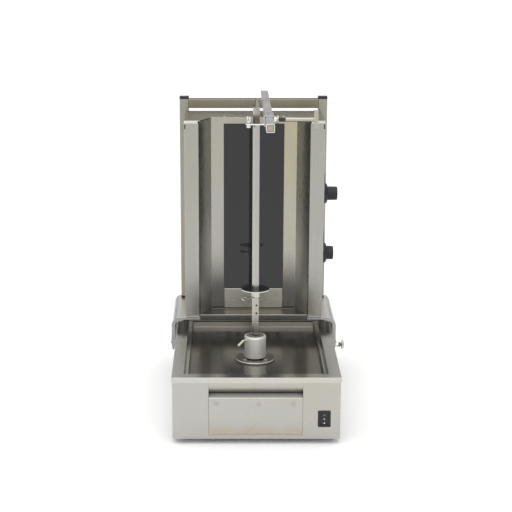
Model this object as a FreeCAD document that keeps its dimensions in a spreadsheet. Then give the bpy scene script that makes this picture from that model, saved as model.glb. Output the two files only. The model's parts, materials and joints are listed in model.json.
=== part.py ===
import FreeCAD, Part
import math
import os

import Sketcher
from FreeCAD import Placement, Rotation, Vector

# Vertical rotisserie broiler, countertop size: a sheet steel base with a drip pan and a driven
# spit, and a heater tower that slides on two saddles along the sides of the base.
# The origin is the centre of the base's footprint on the surface it stands on.
# +X points to the side with the knobs, -Y to the front with the drawer, +Z up. Millimetres.

DIMENSIONS = {
    # base
    "base_width": 330.0,
    "base_depth": 530.0,
    "feet_height": 11.2,
    "foot_inset_x": 34.0,
    "foot_inset_y": 56.0,
    "box_height": 126.8,
    "skin": 1.0,
    "lip_height": 10.5,
    "bend_radius": 0.8,
    "front_panel_top": 126.5,
    "corner_radius": 3.0,
    # well in the deck and the pan that lies in it
    "well_half_width": 141.0,
    "well_front": -242.0,
    "well_rear": 104.0,
    "well_depth": 14.5,
    "pan_half_width": 133.5,
    "pan_rim_drop": 2.5,
    # drawer
    "drawer_centre": -1.3,
    "drawer_width": 182.6,
    "drawer_top": 96.4,
    "drawer_bottom": 20.4,
    "drawer_lip": 17.0,
    "drawer_lip_rise": 4.8,
    "tray_depth": 160.0,
    "tray_width": 168.0,
    "tray_bottom": 24.0,
    "tray_top": 68.0,
    "grip_radius": 29.2,
    "grip_bottom": 104.2,
    # switch
    "switch_centre_x": 132.5,
    "switch_centre_z": 53.0,
    "switch_width": 25.0,
    "switch_length": 33.0,
    "rocker_pivot": 3.0,
    "rocker_tilt": 8.0,
    # spit drive
    "spit_back": -113.0,
    "flange_radius": 40.5,
    "flange_thick": 3.5,
    "bolt_circle": 30.0,
    "socket_radius": 22.0,
    "socket_bottom": 130.0,
    "socket_top": 175.5,
    "shaft_radius": 8.0,
    "bearing_play": 0.05,
    "gear_module": 1.5,
    "wheel_teeth": 54.0,
    "pinion_teeth": 18.0,
    "gear_bottom": 84.0,
    "gear_width": 8.0,
    # spit
    "spit_side": 10.0,
    "spit_turn": 26.0,
    "spit_foot": 142.0,
    "spit_shoulder": 641.0,
    "spit_tip": 659.7,
    "cross_hole_radius": 1.6,
    "pin_height": 255.8,
    "cross_hole_pitch": 16.5,
    "disc_radius": 28.7,
    "disc_top": 274.0,
    "disc_thick": 2.0,
    # saddles
    "saddle_front": 45.0,
    "saddle_rear": 225.0,
    "saddle_top": 161.5,
    "saddle_flat": 3.5,
    "saddle_inner": 115.5,
    "saddle_outer": 177.0,
    "saddle_wall": 7.0,
    "saddle_bottom": 90.0,
    "thumbscrew_height": 98.0,
    # tower
    "wing_front": 57.0,
    "glass_plane": 111.0,
    "rail_front": 200.0,
    "tube_side": 20.0,
    "tube_wall": 1.5,
    "post_centre": 151.2,
    "tower_half_width": 147.5,
    "wing_inner": 117.4,
    "splay_inner": 91.5,
    "splay_skin": 1.15,
    "top_slope": 5.0,
    "tower_top": 587.0,
    "post_top": 612.5,
    "cap_height": 5.0,
    "window_half_width": 64.5,
    "window_bottom": 210.0,
    "window_top": 573.0,
    "glass_thick": 4.0,
    # cable glands
    "base_gland_x": -110.0,
    "base_gland_z": 50.0,
    "tower_gland_x": -60.0,
    "tower_gland_z": 200.0,
    "gland_hole": 8.1,
    "gland_bore": 4.5,
    # knobs on the tower's side
    "knob_back": 135.0,
    "upper_knob_height": 417.0,
    "lower_knob_height": 284.0,
    "knob_skirt_radius": 22.3,
    "knob_grip_radius": 14.6,
    # arm over the spit
    "arm_side": 16.0,
    "arm_centre": 24.0,
    "arm_front": -242.0,
    "collar_front": -156.0,
    "collar_rear": -105.0,
    "collar_gap": 0.3,
    "collar_wall": 2.0,
}


class Size:
    """A length that carries its number together with the spreadsheet formula behind it."""

    def __init__(self, number, formula):
        self.number = float(number)
        self.formula = formula

    def __add__(self, other):
        other = as_size(other)
        return Size(self.number + other.number, f"({self.formula} + {other.formula})")

    def __sub__(self, other):
        other = as_size(other)
        return Size(self.number - other.number, f"({self.formula} - {other.formula})")

    def __mul__(self, other):
        other = as_size(other)
        return Size(self.number * other.number, f"({self.formula} * {other.formula})")

    def __truediv__(self, other):
        other = as_size(other)
        return Size(self.number / other.number, f"({self.formula} / {other.formula})")

    def __neg__(self):
        return Size(-self.number, f"(0 - {self.formula})")

    def __radd__(self, other):
        return as_size(other) + self

    def __rsub__(self, other):
        return as_size(other) - self

    def __rmul__(self, other):
        return as_size(other) * self


def as_size(value):
    """A plain number as a size."""
    if isinstance(value, Size):
        return value
    return Size(value, f"({float(value):.6f})")


doc = FreeCAD.newDocument("vertical_broiler")
sheet = doc.addObject("Spreadsheet::Sheet", "Sizes")
D = {}
for row, (alias, number) in enumerate(DIMENSIONS.items(), start=1):
    sheet.set(f"A{row}", alias)
    sheet.set(f"B{row}", str(number))
    sheet.setAlias(f"B{row}", alias)
    D[alias] = Size(number, f"Sizes.{alias}")
doc.recompute()

SUBPARTS = []
skin = D["skin"]
deck_top = D["feet_height"] + D["box_height"]
half_width = D["base_width"] / 2
half_depth = D["base_depth"] / 2
housing_half_width = half_width - skin
housing_half_depth = half_depth - skin
floor_top = D["feet_height"] + skin
well_floor = deck_top - D["well_depth"]
pan_floor = well_floor + skin
flange_top = pan_floor + D["flange_thick"]
bolt_offset = D["bolt_circle"] * 0.7071
foot_x = half_width - D["foot_inset_x"]
foot_y = half_depth - D["foot_inset_y"]
spit_y = D["spit_back"]
wheel_radius = D["gear_module"] * D["wheel_teeth"] / 2
pinion_radius = D["gear_module"] * D["pinion_teeth"] / 2
pinion_y = spit_y + wheel_radius + pinion_radius
drawer_left = D["drawer_centre"] - D["drawer_width"] / 2
drawer_right = D["drawer_centre"] + D["drawer_width"] / 2
arm_bottom = D["post_top"]
arm_mid = arm_bottom + D["arm_side"] / 2


# ---------------------------------------------------------------- helpers


def bind(item, path, size):
    """Ties one property of an object to its spreadsheet formula."""
    item.setExpression(path, as_size(size).formula)


def place(item, x=0.0, y=0.0, z=0.0, rotation=None):
    """Puts an object at a point, with an optional turn."""
    if rotation is not None:
        item.Placement = Placement(Vector(0, 0, 0), rotation)
    bind(item, "Placement.Base.x", x)
    bind(item, "Placement.Base.y", y)
    bind(item, "Placement.Base.z", z)
    return item


def subpart(item, label):
    """Names an object as one sub-part of the broiler."""
    item.Label = label
    SUBPARTS.append(item)
    return item


def new_body(label):
    """An empty PartDesign body that becomes one sub-part."""
    return subpart(doc.addObject("PartDesign::Body", label + "_body"), label)


def origin_feature(body, role):
    """A plane or axis of the body's own origin."""
    for feature in body.Origin.OriginFeatures:
        if feature.Role == role:
            return feature
    raise ValueError(role)


def hold(sketch, geometry, point, x, y):
    """Fixes a point of a sketch by its distances from the sketch's origin."""
    for kind, size, axis in (("DistanceX", x, -2), ("DistanceY", y, -1)):
        if abs(size.number) < 1e-6:
            sketch.addConstraint(Sketcher.Constraint("PointOnObject", geometry, point, axis))
            continue
        index = sketch.addConstraint(
            Sketcher.Constraint(kind, -1, 1, geometry, point, size.number)
        )
        sketch.setExpression(f"Constraints[{index}]", size.formula)


def polygon(points):
    """A closed outline of straight edges."""
    corners = [(as_size(x), as_size(y)) for x, y in points]

    def draw(sketch):
        first = sketch.GeometryCount
        count = len(corners)
        for (x0, y0), (x1, y1) in zip(corners, corners[1:] + corners[:1]):
            start = Vector(x0.number, y0.number, 0)
            end = Vector(x1.number, y1.number, 0)
            sketch.addGeometry(Part.LineSegment(start, end))
        for i in range(count):
            after = first + (i + 1) % count
            sketch.addConstraint(Sketcher.Constraint("Coincident", first + i, 2, after, 1))
        for i, (x, y) in enumerate(corners):
            hold(sketch, first + i, 1, x, y)

    return draw


def rectangle(left, right, low, high):
    """A closed rectangle between four sides."""
    return polygon([(left, low), (right, low), (right, high), (left, high)])


def circle(x, y, radius):
    """A circle about a point."""
    x, y, radius = as_size(x), as_size(y), as_size(radius)

    def draw(sketch):
        shape = Part.Circle(Vector(x.number, y.number, 0), Vector(0, 0, 1), radius.number)
        index = sketch.addGeometry(shape)
        hold(sketch, index, 3, x, y)
        size = sketch.addConstraint(Sketcher.Constraint("Radius", index, radius.number))
        sketch.setExpression(f"Constraints[{size}]", radius.formula)

    return draw


def new_sketch(body, plane, offset, outlines):
    """A sketch on one of the body's origin planes, moved along the plane's normal."""
    sketch = body.newObject("Sketcher::SketchObject", f"{body.Name}_sketch")
    sketch.AttachmentSupport = [(origin_feature(body, f"{plane}_Plane"), "")]
    sketch.MapMode = "FlatFace"
    bind(sketch, "AttachmentOffset.Base.z", offset)
    for draw in outlines:
        draw(sketch)
    return sketch


def extrude(body, plane, outlines, low, high, kind="Pad"):
    """Pads the outlines from one level to another along the plane's row axis."""
    low, high = as_size(low), as_size(high)
    # the XZ plane's normal points to -Y, the other two point along +Z and +X
    start = -high if plane == "XZ" else low
    sketch = new_sketch(body, plane, start, outlines)
    feature = body.newObject(f"PartDesign::{kind}", f"{body.Name}_{kind.lower()}")
    feature.Profile = sketch
    bind(feature, "Length", high - low)
    if kind == "Pocket":
        feature.Reversed = True
    return feature


def pocket(body, plane, outlines, low, high):
    """Cuts the outlines out of the body and makes sure that something was cut."""
    doc.recompute()
    before = body.Shape.Volume
    feature = extrude(body, plane, outlines, low, high, "Pocket")
    doc.recompute()
    if body.Shape.Volume > before - 1e-3:
        raise RuntimeError(f"{feature.Name} cuts nothing")
    return feature


def spin(body, points, kind="Revolution"):
    """Revolves an outline of (radius, height) points about the body's own Z axis."""
    sketch = new_sketch(body, "XZ", 0.0, [polygon(points)])
    feature = body.newObject(f"PartDesign::{kind}", f"{body.Name}_{kind.lower()}")
    feature.Profile = sketch
    feature.ReferenceAxis = (sketch, ["V_Axis"])
    feature.Angle = 360.0
    return feature


def repeat_round(body, feature, count):
    """Repeats a feature around the body's own Z axis."""
    pattern = body.newObject("PartDesign::PolarPattern", f"{body.Name}_pattern")
    pattern.Originals = [feature]
    pattern.Axis = (origin_feature(body, "Z_Axis"), [""])
    pattern.Angle = 360.0
    bind(pattern, "Occurrences", count)
    body.Tip = pattern
    return pattern


def round_edges(body, chosen, radius):
    """Fillets the edges of the body that a test picks out."""
    doc.recompute()
    base = body.Tip
    names = [f"Edge{i}" for i, edge in enumerate(base.Shape.Edges, start=1) if chosen(edge)]
    if not names:
        raise RuntimeError(f"no edge to round on {body.Label}")
    feature = body.newObject("PartDesign::Fillet", f"{body.Name}_fillet")
    feature.Base = (base, names)
    bind(feature, "Radius", radius)
    return feature


def along(edge, axis):
    """Whether an edge is straight and runs along a row axis."""
    if edge.Curve.TypeId != "Part::GeomLine":
        return False
    direction = edge.tangentAt(edge.FirstParameter)
    return abs(abs(direction.dot(axis)) - 1) < 1e-6


def near(edge, x=None, y=None, z=None, within=0.6):
    """Whether an edge's middle lies near the given coordinates."""
    middle = edge.CenterOfMass
    pairs = ((x, middle.x), (y, middle.y), (z, middle.z))
    return all(want is None or abs(as_size(want).number - got) < within for want, got in pairs)


AXIS_X = Vector(1, 0, 0)
AXIS_Y = Vector(0, 1, 0)
AXIS_Z = Vector(0, 0, 1)
Z_TO_X = Rotation(AXIS_Y, 90)
Z_TO_MINUS_X = Rotation(AXIS_Y, -90)
Z_TO_Y = Rotation(AXIS_X, -90)
Z_TO_MINUS_Y = Rotation(AXIS_X, 90)
UPSIDE_DOWN = Rotation(AXIS_X, 180)


def block(name, x, y, z):
    """A box between three pairs of limits."""
    item = doc.addObject("Part::Box", name)
    for prop, (low, high) in (("Length", x), ("Width", y), ("Height", z)):
        bind(item, prop, as_size(high) - low)
    return place(item, x[0], y[0], z[0])


def rod(name, x, y, z, radius, length, rotation=None):
    """A cylinder that starts at a point and runs along its turned Z axis."""
    item = doc.addObject("Part::Cylinder", name)
    bind(item, "Radius", radius)
    bind(item, "Height", length)
    return place(item, x, y, z, rotation or Rotation())


def fuse(name, items):
    """One solid from several."""
    item = doc.addObject("Part::MultiFuse", name)
    item.Shapes = items
    item.Refine = True
    return item


def cut(name, base, tools):
    """A solid with others taken out of it."""
    tool = tools[0] if len(tools) == 1 else fuse(name + "_tools", tools)
    item = doc.addObject("Part::Cut", name)
    item.Base = base
    item.Tool = tool
    item.Refine = True
    return item


def group(label, items):
    """Separate identical solids that share one sub-part."""
    item = doc.addObject("Part::Compound", label + "_group")
    item.Links = items
    return subpart(item, label)


def screw(name, x, y, z, head, shank, rotation=None):
    """A pan head screw: head on the near side of the point, shank beyond it along -Z turned."""
    head_radius, head_height = head
    shank_radius, shank_length = shank
    turn = rotation or Rotation()
    into = turn.multVec(Vector(0, 0, -1))
    cap = rod(name + "_head", x, y, z, head_radius, head_height, turn)
    start = [as_size(c) + as_size(shank_length) * d for c, d in zip((x, y, z), into)]
    body = rod(name + "_shank", *start, shank_radius, as_size(shank_length) + 0.5, turn)
    return fuse(name, [cap, body])


# ---------------------------------------------------------------- base


def make_base_housing():
    """Front, sides and back of the base as one wrapped skin, open above and below."""
    body = new_body("base_housing")
    inner_w = housing_half_width - skin
    inner_d = housing_half_depth - skin
    low = D["feet_height"]
    high = deck_top - skin
    outer = rectangle(-housing_half_width, housing_half_width, -housing_half_depth, housing_half_depth)
    inner = rectangle(-inner_w, inner_w, -inner_d, inner_d)
    extrude(body, "XY", [outer, inner], low, high)
    round_edges(body, lambda e: along(e, AXIS_Z) and abs(e.CenterOfMass.x) > inner_w.number + 0.5,
                D["corner_radius"])
    front = (-housing_half_depth - 1, -inner_d + 1)
    opening = rectangle(drawer_left - 0.6, drawer_right + 0.6, D["drawer_bottom"] - 0.8, D["front_panel_top"])
    pocket(body, "XZ", [opening], *front)
    x, z = D["switch_centre_x"], D["switch_centre_z"]
    w, h = D["switch_width"] / 2 - 1.5, D["switch_length"] / 2 - 1.5
    pocket(body, "XZ", [rectangle(x - w, x + w, z - h, z + h)], *front)
    back = (inner_d - 1, housing_half_depth + 1)
    pocket(body, "XZ", [circle(D["base_gland_x"], D["base_gland_z"], D["gland_hole"])], *back)
    slots = [rectangle(20.0 + 16 * i, 25.0 + 16 * i, 40.0, 90.0) for i in range(6)]
    pocket(body, "XZ", slots, *back)
    return body


def make_floor_plate():
    """Bottom plate between the walls, with the four holes for the feet."""
    body = new_body("base_floor_plate")
    w = housing_half_width - skin
    d = housing_half_depth - skin
    holes = [circle(sx * foot_x, sy * foot_y, 3.2) for sx in (-1, 1) for sy in (-1, 1)]
    extrude(body, "XY", [rectangle(-w, w, -d, d)] + holes, D["feet_height"], floor_top)
    vents = [rectangle(-60.0 + 20 * i, -54.0 + 20 * i, 60.0, 130.0) for i in range(7)]
    pocket(body, "XY", vents, D["feet_height"] - 1, floor_top + 1)
    return body


def make_deck():
    """Top of the base: a lipped plate with the well pressed into it."""
    body = new_body("deck")
    well_w = D["well_half_width"]
    outer = rectangle(-half_width, half_width, -half_depth, half_depth)
    extrude(body, "XY", [outer], deck_top - D["lip_height"], deck_top)
    round_edges(body, lambda e: along(e, AXIS_Z), D["corner_radius"] + skin)
    round_edges(body, lambda e: near(e, z=deck_top, within=0.01), D["bend_radius"])
    inside = rectangle(-housing_half_width, housing_half_width, -housing_half_depth, housing_half_depth)
    pocket(body, "XY", [inside], deck_top - D["lip_height"] - 1, deck_top - skin)
    well_outer = rectangle(-well_w - skin, well_w + skin, D["well_front"] - skin, D["well_rear"] + skin)
    extrude(body, "XY", [well_outer], well_floor - skin, deck_top - skin)
    well_inner = rectangle(-well_w, well_w, D["well_front"], D["well_rear"])
    pocket(body, "XY", [well_inner], well_floor, deck_top + 1)
    round_edges(body, lambda e: near(e, z=deck_top, within=0.01) and is_inside_rim(e), D["bend_radius"])
    pocket(body, "XY", drive_holes(), well_floor - skin - 1, well_floor + 1)
    return body


def is_inside_rim(edge):
    """Whether an edge of the deck's top lies well inside its outer rim."""
    middle = edge.CenterOfMass
    return abs(middle.x) < half_width.number - 5 and abs(middle.y) < half_depth.number - 5


def drive_holes():
    """Holes that the spindle and the flange's screws pass through."""
    holes = [circle(0.0, spit_y, 22.0)]
    for side_x in (-1, 1):
        for side_y in (-1, 1):
            holes.append(circle(bolt_offset * side_x, spit_y + bolt_offset * side_y, 2.6))
    return holes


def make_drip_pan():
    """Loose pan in the well: a floor with a thin upstanding rim."""
    body = new_body("drip_pan")
    w = D["pan_half_width"]
    front, rear = D["well_front"] + 5, D["well_rear"] - 4
    rim = deck_top - D["pan_rim_drop"]
    extrude(body, "XY", [rectangle(-w, w, front, rear)], well_floor, rim)
    round_edges(body, lambda e: along(e, AXIS_Z), 6.0)
    inner = rectangle(-w + skin, w - skin, front + skin, rear - skin)
    pocket(body, "XY", [inner], pan_floor, rim + 1)
    pocket(body, "XY", drive_holes(), well_floor - 1, pan_floor + 1)
    return body


def make_feet():
    """Four rubber feet with a recess for the screw head."""
    feet = []
    for i, (sx, sy) in enumerate(((-1, -1), (1, -1), (-1, 1), (1, 1))):
        x, y = sx * foot_x, sy * foot_y
        foot = doc.addObject("Part::Cone", f"foot_{i}")
        bind(foot, "Radius1", 13.0)
        bind(foot, "Radius2", 16.0)
        bind(foot, "Height", D["feet_height"])
        place(foot, x, y, 0.0)
        recess = rod(f"foot_recess_{i}", x, y, -1.0, 6.5, 6.0)
        bore = rod(f"foot_bore_{i}", x, y, 0.0, 2.6, D["feet_height"] + 1)
        feet.append(cut(f"foot_cut_{i}", foot, [recess, bore]))
    return group("rubber_feet", feet)


def make_base_screws():
    """Screws that hold the feet, driven from below."""
    screws = []
    for i, (sx, sy) in enumerate(((-1, -1), (1, -1), (-1, 1), (1, 1))):
        screws.append(screw(f"foot_screw_{i}", sx * foot_x, sy * foot_y, 5.0, (5.0, 2.5), (2.5, 14.0),
                            UPSIDE_DOWN))
    return group("foot_screws", screws)


def make_grip_roll():
    """Edge above the drawer, rolled inwards so that fingers reach behind the drawer's top."""
    radius = D["grip_radius"]
    top = D["front_panel_top"]
    left, right = drawer_left - 0.4, drawer_right + 0.4
    front = -housing_half_depth
    centre_y = front + radius
    outer = rod("grip_outer", left, centre_y, top, radius, right - left, Z_TO_X)
    inner = rod("grip_inner", left - 1, centre_y, top, radius - skin, right - left + 2, Z_TO_X)
    ring = cut("grip_ring", outer, [inner])
    reach = block("grip_reach", (left, right), (front - 1, front + 18), (D["grip_bottom"], top))
    item = doc.addObject("Part::Common", "grip_roll_common")
    item.Base = ring
    item.Tool = reach
    return subpart(item, "grip_roll")


def make_drawer_runners():
    """Two Z-shaped rails that carry the drawer's tray."""
    rails = []
    reach = D["tray_width"] / 2
    y = (-housing_half_depth + 8, -housing_half_depth + 8 + D["tray_depth"])
    for side in (-1, 1):
        inner = D["drawer_centre"] + side * (reach - 10)
        outer = D["drawer_centre"] + side * (reach + 3.5)
        edge = D["drawer_centre"] + side * (reach + 2)
        first, second = (inner, outer) if side > 0 else (outer, inner)
        ledge = block(f"runner_ledge_{side + 1}", (first, second), y, (22.2, 23.7))
        first, second = (edge, outer) if side > 0 else (outer, edge)
        web = block(f"runner_web_{side + 1}", (first, second), y, (floor_top, 44.0))
        rails.append(fuse(f"runner_{side + 1}", [ledge, web]))
    return group("drawer_runners", rails)


def make_bearing_flange():
    """Round plate that clamps the pan and the deck to the spindle bearing."""
    body = new_body("bearing_flange")
    radius = D["flange_radius"]
    spin(body, [(12.0, 0.0), (radius, 0.0), (radius, 2.5), (radius - 1, D["flange_thick"]),
                (12.0, D["flange_thick"])])
    hole = pocket(body, "XY", [circle(bolt_offset, bolt_offset, 2.6)], -1.0, 5.0)
    repeat_round(body, hole, 4)
    place(body, 0.0, spit_y, pan_floor)
    return body


def make_flange_screws():
    """Four screws through the bearing flange."""
    screws = []
    for i, (sx, sy) in enumerate(((-1, -1), (1, -1), (-1, 1), (1, 1))):
        x = bolt_offset * sx
        y = spit_y + bolt_offset * sy
        screws.append(screw(f"flange_screw_{i}", x, y, flange_top, (4.2, 2.0), (2.5, 12.0)))
    return group("flange_screws", screws)


def make_spindle_bearing():
    """Cast housing under the well that carries the spindle's bush."""
    body = new_body("bearing_housing")
    top = well_floor - skin
    spin(body, [(11.0, 96.0), (19.0, 96.0), (21.0, top - 5), (38.0, top - 5), (38.0, top),
                (11.0, top)])
    hole = pocket(body, "XY", [circle(bolt_offset, bolt_offset, 2.5)], 90.0, 130.0)
    repeat_round(body, hole, 4)
    place(body, 0.0, spit_y, 0.0)
    return body


def make_bush():
    """Bronze bush that the spindle turns in."""
    body = new_body("spindle_bush")
    inner = D["shaft_radius"] + D["bearing_play"]
    top = well_floor - skin
    spin(body, [(inner, 95.0), (14.0, 95.0), (14.0, 96.0), (11.0, 96.0), (11.0, top), (inner, top)])
    place(body, 0.0, spit_y, 0.0)
    return body


def make_gear_motor():
    """Gearbox with the motor can behind it."""
    box = block("gearbox", (-32.0, 32.0), (pinion_y - 24, pinion_y + 34), (50.0, 77.0))
    rounded = doc.addObject("Part::Fillet", "gearbox_rounded")
    rounded.Base = box
    doc.recompute()
    upright = [i for i, e in enumerate(box.Shape.Edges, start=1) if along(e, AXIS_Z)]
    rounded.Edges = [(i, 5.0, 5.0) for i in upright]
    can = rod("motor_can", 0.0, pinion_y + 33, 63.5, 25.0, 58.0, Z_TO_Y)
    end = rod("motor_end", 0.0, pinion_y + 90, 63.5, 8.0, 6.0, Z_TO_Y)
    boss = rod("gearbox_boss", 0.0, pinion_y, 76.0, 9.0, 4.0)
    bore = rod("gearbox_bore", 0.0, pinion_y, 60.0, 4.05, 30.0)
    whole = fuse("motor_whole", [rounded, can, end, boss])
    return subpart(cut("motor_cut", whole, [bore]), "gear_motor")


def make_motor_bracket():
    """Folded stand that holds the gearbox over the floor plate."""
    body = new_body("motor_bracket")
    top, low, leg, foot, gauge = 50.0, floor_top, 38.0, 54.0, 2.0
    outline = [(-foot, low), (-foot, low + gauge), (-leg, low + gauge), (-leg, top), (leg, top),
               (leg, low + gauge), (foot, low + gauge), (foot, low), (leg - gauge, low),
               (leg - gauge, top - gauge), (-leg + gauge, top - gauge), (-leg + gauge, low)]
    extrude(body, "XZ", [polygon(outline)], pinion_y - 22, pinion_y + 30)
    return body


def make_capacitor():
    """Run capacitor lying on the floor plate."""
    body = new_body("run_capacitor")
    spin(body, [(0.0, 0.0), (15.0, 0.0), (15.0, 55.0), (12.0, 57.0), (5.0, 57.0), (5.0, 63.0),
                (0.0, 63.0)])
    place(body, 95.0, 60.0, floor_top + 15, Z_TO_Y)
    return body


def make_terminal_block():
    """Supply terminals: a block with six screw wells."""
    body = new_body("terminal_block")
    extrude(body, "XY", [rectangle(-30.0, 30.0, -11.0, 11.0)], 0.0, 18.0)
    wells = [circle(-25.0 + 10 * i, 0.0, 3.0) for i in range(6)]
    pocket(body, "XY", wells, 8.0, 19.0)
    place(body, -110.0, 170.0, floor_top)
    return body


def make_gland(label, x, y, z):
    """Cable gland: a domed nut outside the wall, a collar through it and a nut inside."""
    body = new_body(label)
    bore = D["gland_bore"]
    spin(body, [(bore, -12.0), (8.0, -12.0), (8.0, 0.0), (12.0, 0.0), (12.0, 7.0), (10.0, 12.0),
                (7.0, 15.0), (bore, 15.0)])
    nut = extrude(body, "XY", [hexagon(11.0), circle(0.0, 0.0, 7.9)], -7.0, -skin - 0.2)
    place(body, x, y, z, Z_TO_Y)
    return nut


def hexagon(radius):
    """A six-sided outline about the origin."""
    angles = [math.radians(60 * i) for i in range(6)]
    return polygon([(radius * math.cos(a), radius * math.sin(a)) for a in angles])


def make_switch_housing():
    """Frame of the rocker switch with the body that clips behind the front skin."""
    body = new_body("switch_housing")
    w, h = D["switch_width"] / 2, D["switch_length"] / 2
    extrude(body, "XY", [rectangle(-w, w, -h, h)], 0.0, 2.2)
    round_edges(body, lambda e: along(e, AXIS_Z), 2.0)
    extrude(body, "XY", [rectangle(-w + 2, w - 2, -h + 2, h - 2)], -24.0, 0.5)
    pocket(body, "XY", [rectangle(-w + 4, w - 4, -h + 4, h - 4)], -11.0, 3.0)
    lugs = [rectangle(-6.0 + 8 * i, -2.0 + 8 * i, -1.5, -0.5) for i in range(2)]
    extrude(body, "XY", lugs, -32.0, -23.5)
    place(body, D["switch_centre_x"], -housing_half_depth, D["switch_centre_z"], Z_TO_MINUS_Y)
    return body


def make_rocker():
    """Rocker of the switch, dished on top, on a round back that tilts in the frame."""
    body = new_body("rocker_button")
    w, h = D["switch_width"] / 2 - 4.4, D["switch_length"] / 2 - 5.2
    outline = [(-h, 3.2), (0.0, 1.4), (h, 3.2), (h - 1.4, -5.0), (4.0, -9.0), (-4.0, -9.0),
               (-h + 1.4, -5.0)]
    extrude(body, "YZ", [polygon(outline)], -w, w)
    # it rests tilted about its pivot, with its upper half pressed in
    pivot, tilt = D["rocker_pivot"], D["rocker_tilt"].number
    sine, cosine = math.sin(math.radians(tilt)), math.cos(math.radians(tilt))
    place(body, D["switch_centre_x"], -housing_half_depth + pivot * (1 - cosine),
          D["switch_centre_z"] + pivot * sine, Rotation(AXIS_X, 90 - tilt))
    return body


# ---------------------------------------------------------------- drawer


def make_drawer_front():
    """Folded front of the grease drawer with its rising top lip."""
    body = new_body("drawer_front")
    front = -half_depth
    low, high = D["drawer_bottom"], D["drawer_top"]
    rear, crest = front + D["drawer_lip"], high + D["drawer_lip_rise"]
    outline = [(front, low), (front, high), (rear, crest), (rear, high - 6), (rear - skin, high - 6),
               (rear - skin, crest - skin * 1.3), (front + skin, high - skin * 0.8), (front + skin, low)]
    extrude(body, "YZ", [polygon(outline)], drawer_left, drawer_right)
    round_edges(body, lambda e: along(e, AXIS_X) and near(e, y=front, z=high), 3.0)
    return body


def make_drawer_tray():
    """Open tray behind the drawer's front."""
    body = new_body("drawer_tray")
    w = D["tray_width"] / 2
    centre = D["drawer_centre"]
    front = -half_depth + skin
    rear = front + D["tray_depth"]
    outer = rectangle(centre - w, centre + w, front, rear)
    extrude(body, "XY", [outer], D["tray_bottom"], D["tray_top"])
    round_edges(body, lambda e: along(e, AXIS_Z) and near(e, y=rear), 6.0)
    inner = rectangle(centre - w + skin, centre + w - skin, front + skin, rear - skin)
    pocket(body, "XY", [inner], D["tray_bottom"] + skin, D["tray_top"] + 1)
    return body


# ---------------------------------------------------------------- spit drive


def gear_tooth(radius, module):
    """Flanks of one tooth about the X axis, a little slim so that the pair runs with play."""
    root, tip = radius - 1.15 * module, radius + 0.85 * module
    wide, mid, slim = 0.98 * module, 0.66 * module, 0.30 * module
    return polygon([(root - 0.6, -wide), (root, -wide), (radius, -mid), (tip, -slim), (tip, slim),
                    (radius, mid), (root, wide), (root - 0.6, wide)])


def make_gear(label, radius, teeth, bore, hub, low, high):
    """Spur gear with a hub: a disc, one tooth and its pattern."""
    body = new_body(label)
    module = D["gear_module"]
    root = radius - 1.15 * module
    hub_radius, hub_low, hub_high = hub
    spin(body, [(bore, hub_low), (hub_radius, hub_low), (hub_radius, low), (root, low), (root, high),
                (hub_radius, high), (hub_radius, hub_high), (bore, hub_high)])
    tooth = extrude(body, "XY", [gear_tooth(radius, module)], low, high)
    repeat_round(body, tooth, teeth)
    return body


def make_drive_gear():
    """Large gear on the spindle, lightened by round holes."""
    low = D["gear_bottom"]
    high = low + D["gear_width"]
    body = make_gear("drive_gear", wheel_radius, D["wheel_teeth"], D["shaft_radius"],
                     (13.0, low - 3, high + 2), low, high)
    hole = pocket(body, "XY", [circle(25.0, 0.0, 7.0)], low - 1, high + 1)
    repeat_round(body, hole, 5)
    # one tooth points at the pinion
    place(body, 0.0, spit_y, 0.0, Rotation(AXIS_Z, 90))
    return body


def make_pinion():
    """Motor pinion in one piece with its shaft."""
    low = D["gear_bottom"] - 1
    high = low + D["gear_width"] + 2
    body = new_body("motor_pinion")
    module = D["gear_module"]
    root = pinion_radius - 1.15 * module
    spin(body, [(0.0, 62.0), (4.0, 62.0), (4.0, low), (root, low), (root, high), (4.0, high),
                (4.0, high + 4), (0.0, high + 4)])
    tooth = extrude(body, "XY", [gear_tooth(pinion_radius, module)], low, high)
    repeat_round(body, tooth, D["pinion_teeth"])
    # a gap between two teeth points at the large gear's tooth
    place(body, 0.0, pinion_y, 0.0, Rotation(AXIS_Z, -90 + 180 / D["pinion_teeth"].number))
    return body


def make_spindle():
    """Stepped spindle that carries the gear and the socket."""
    body = new_body("spindle_shaft")
    radius = D["shaft_radius"]
    spin(body, [(0.0, 78.0), (radius - 1, 78.0), (radius, 79.0), (radius, 138.0), (0.0, 138.0)])
    place(body, 0.0, spit_y, 0.0)
    return body


def make_socket():
    """Round socket with the square hole that takes the spit's foot."""
    body = new_body("spit_socket")
    low, high = D["socket_bottom"], D["socket_top"]
    radius = D["socket_radius"]
    spin(body, [(0.0, low), (radius - 1, low), (radius, low + 1), (radius, high - 3),
                (radius - 0.9, high - 0.9), (radius - 3, high), (0.0, high)])
    pocket(body, "XY", [circle(0.0, 0.0, D["shaft_radius"])], low - 1, 138.0)
    side = D["spit_side"] / 2 + 0.15
    pocket(body, "XY", [rectangle(-side, side, -side, side)], D["spit_foot"] - 0.5, high + 1)
    recess = circle(0.0, 0.0, 8.2)
    pocket(body, "XY", [recess], high - 2.0, high + 1)
    screw_hole = circle(0.0, high - 9, 3.05)
    pocket(body, "YZ", [screw_hole], -radius - 1, -side + 0.5)
    place(body, 0.0, spit_y, 0.0, Rotation(AXIS_Z, D["spit_turn"].number))
    return body


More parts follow.
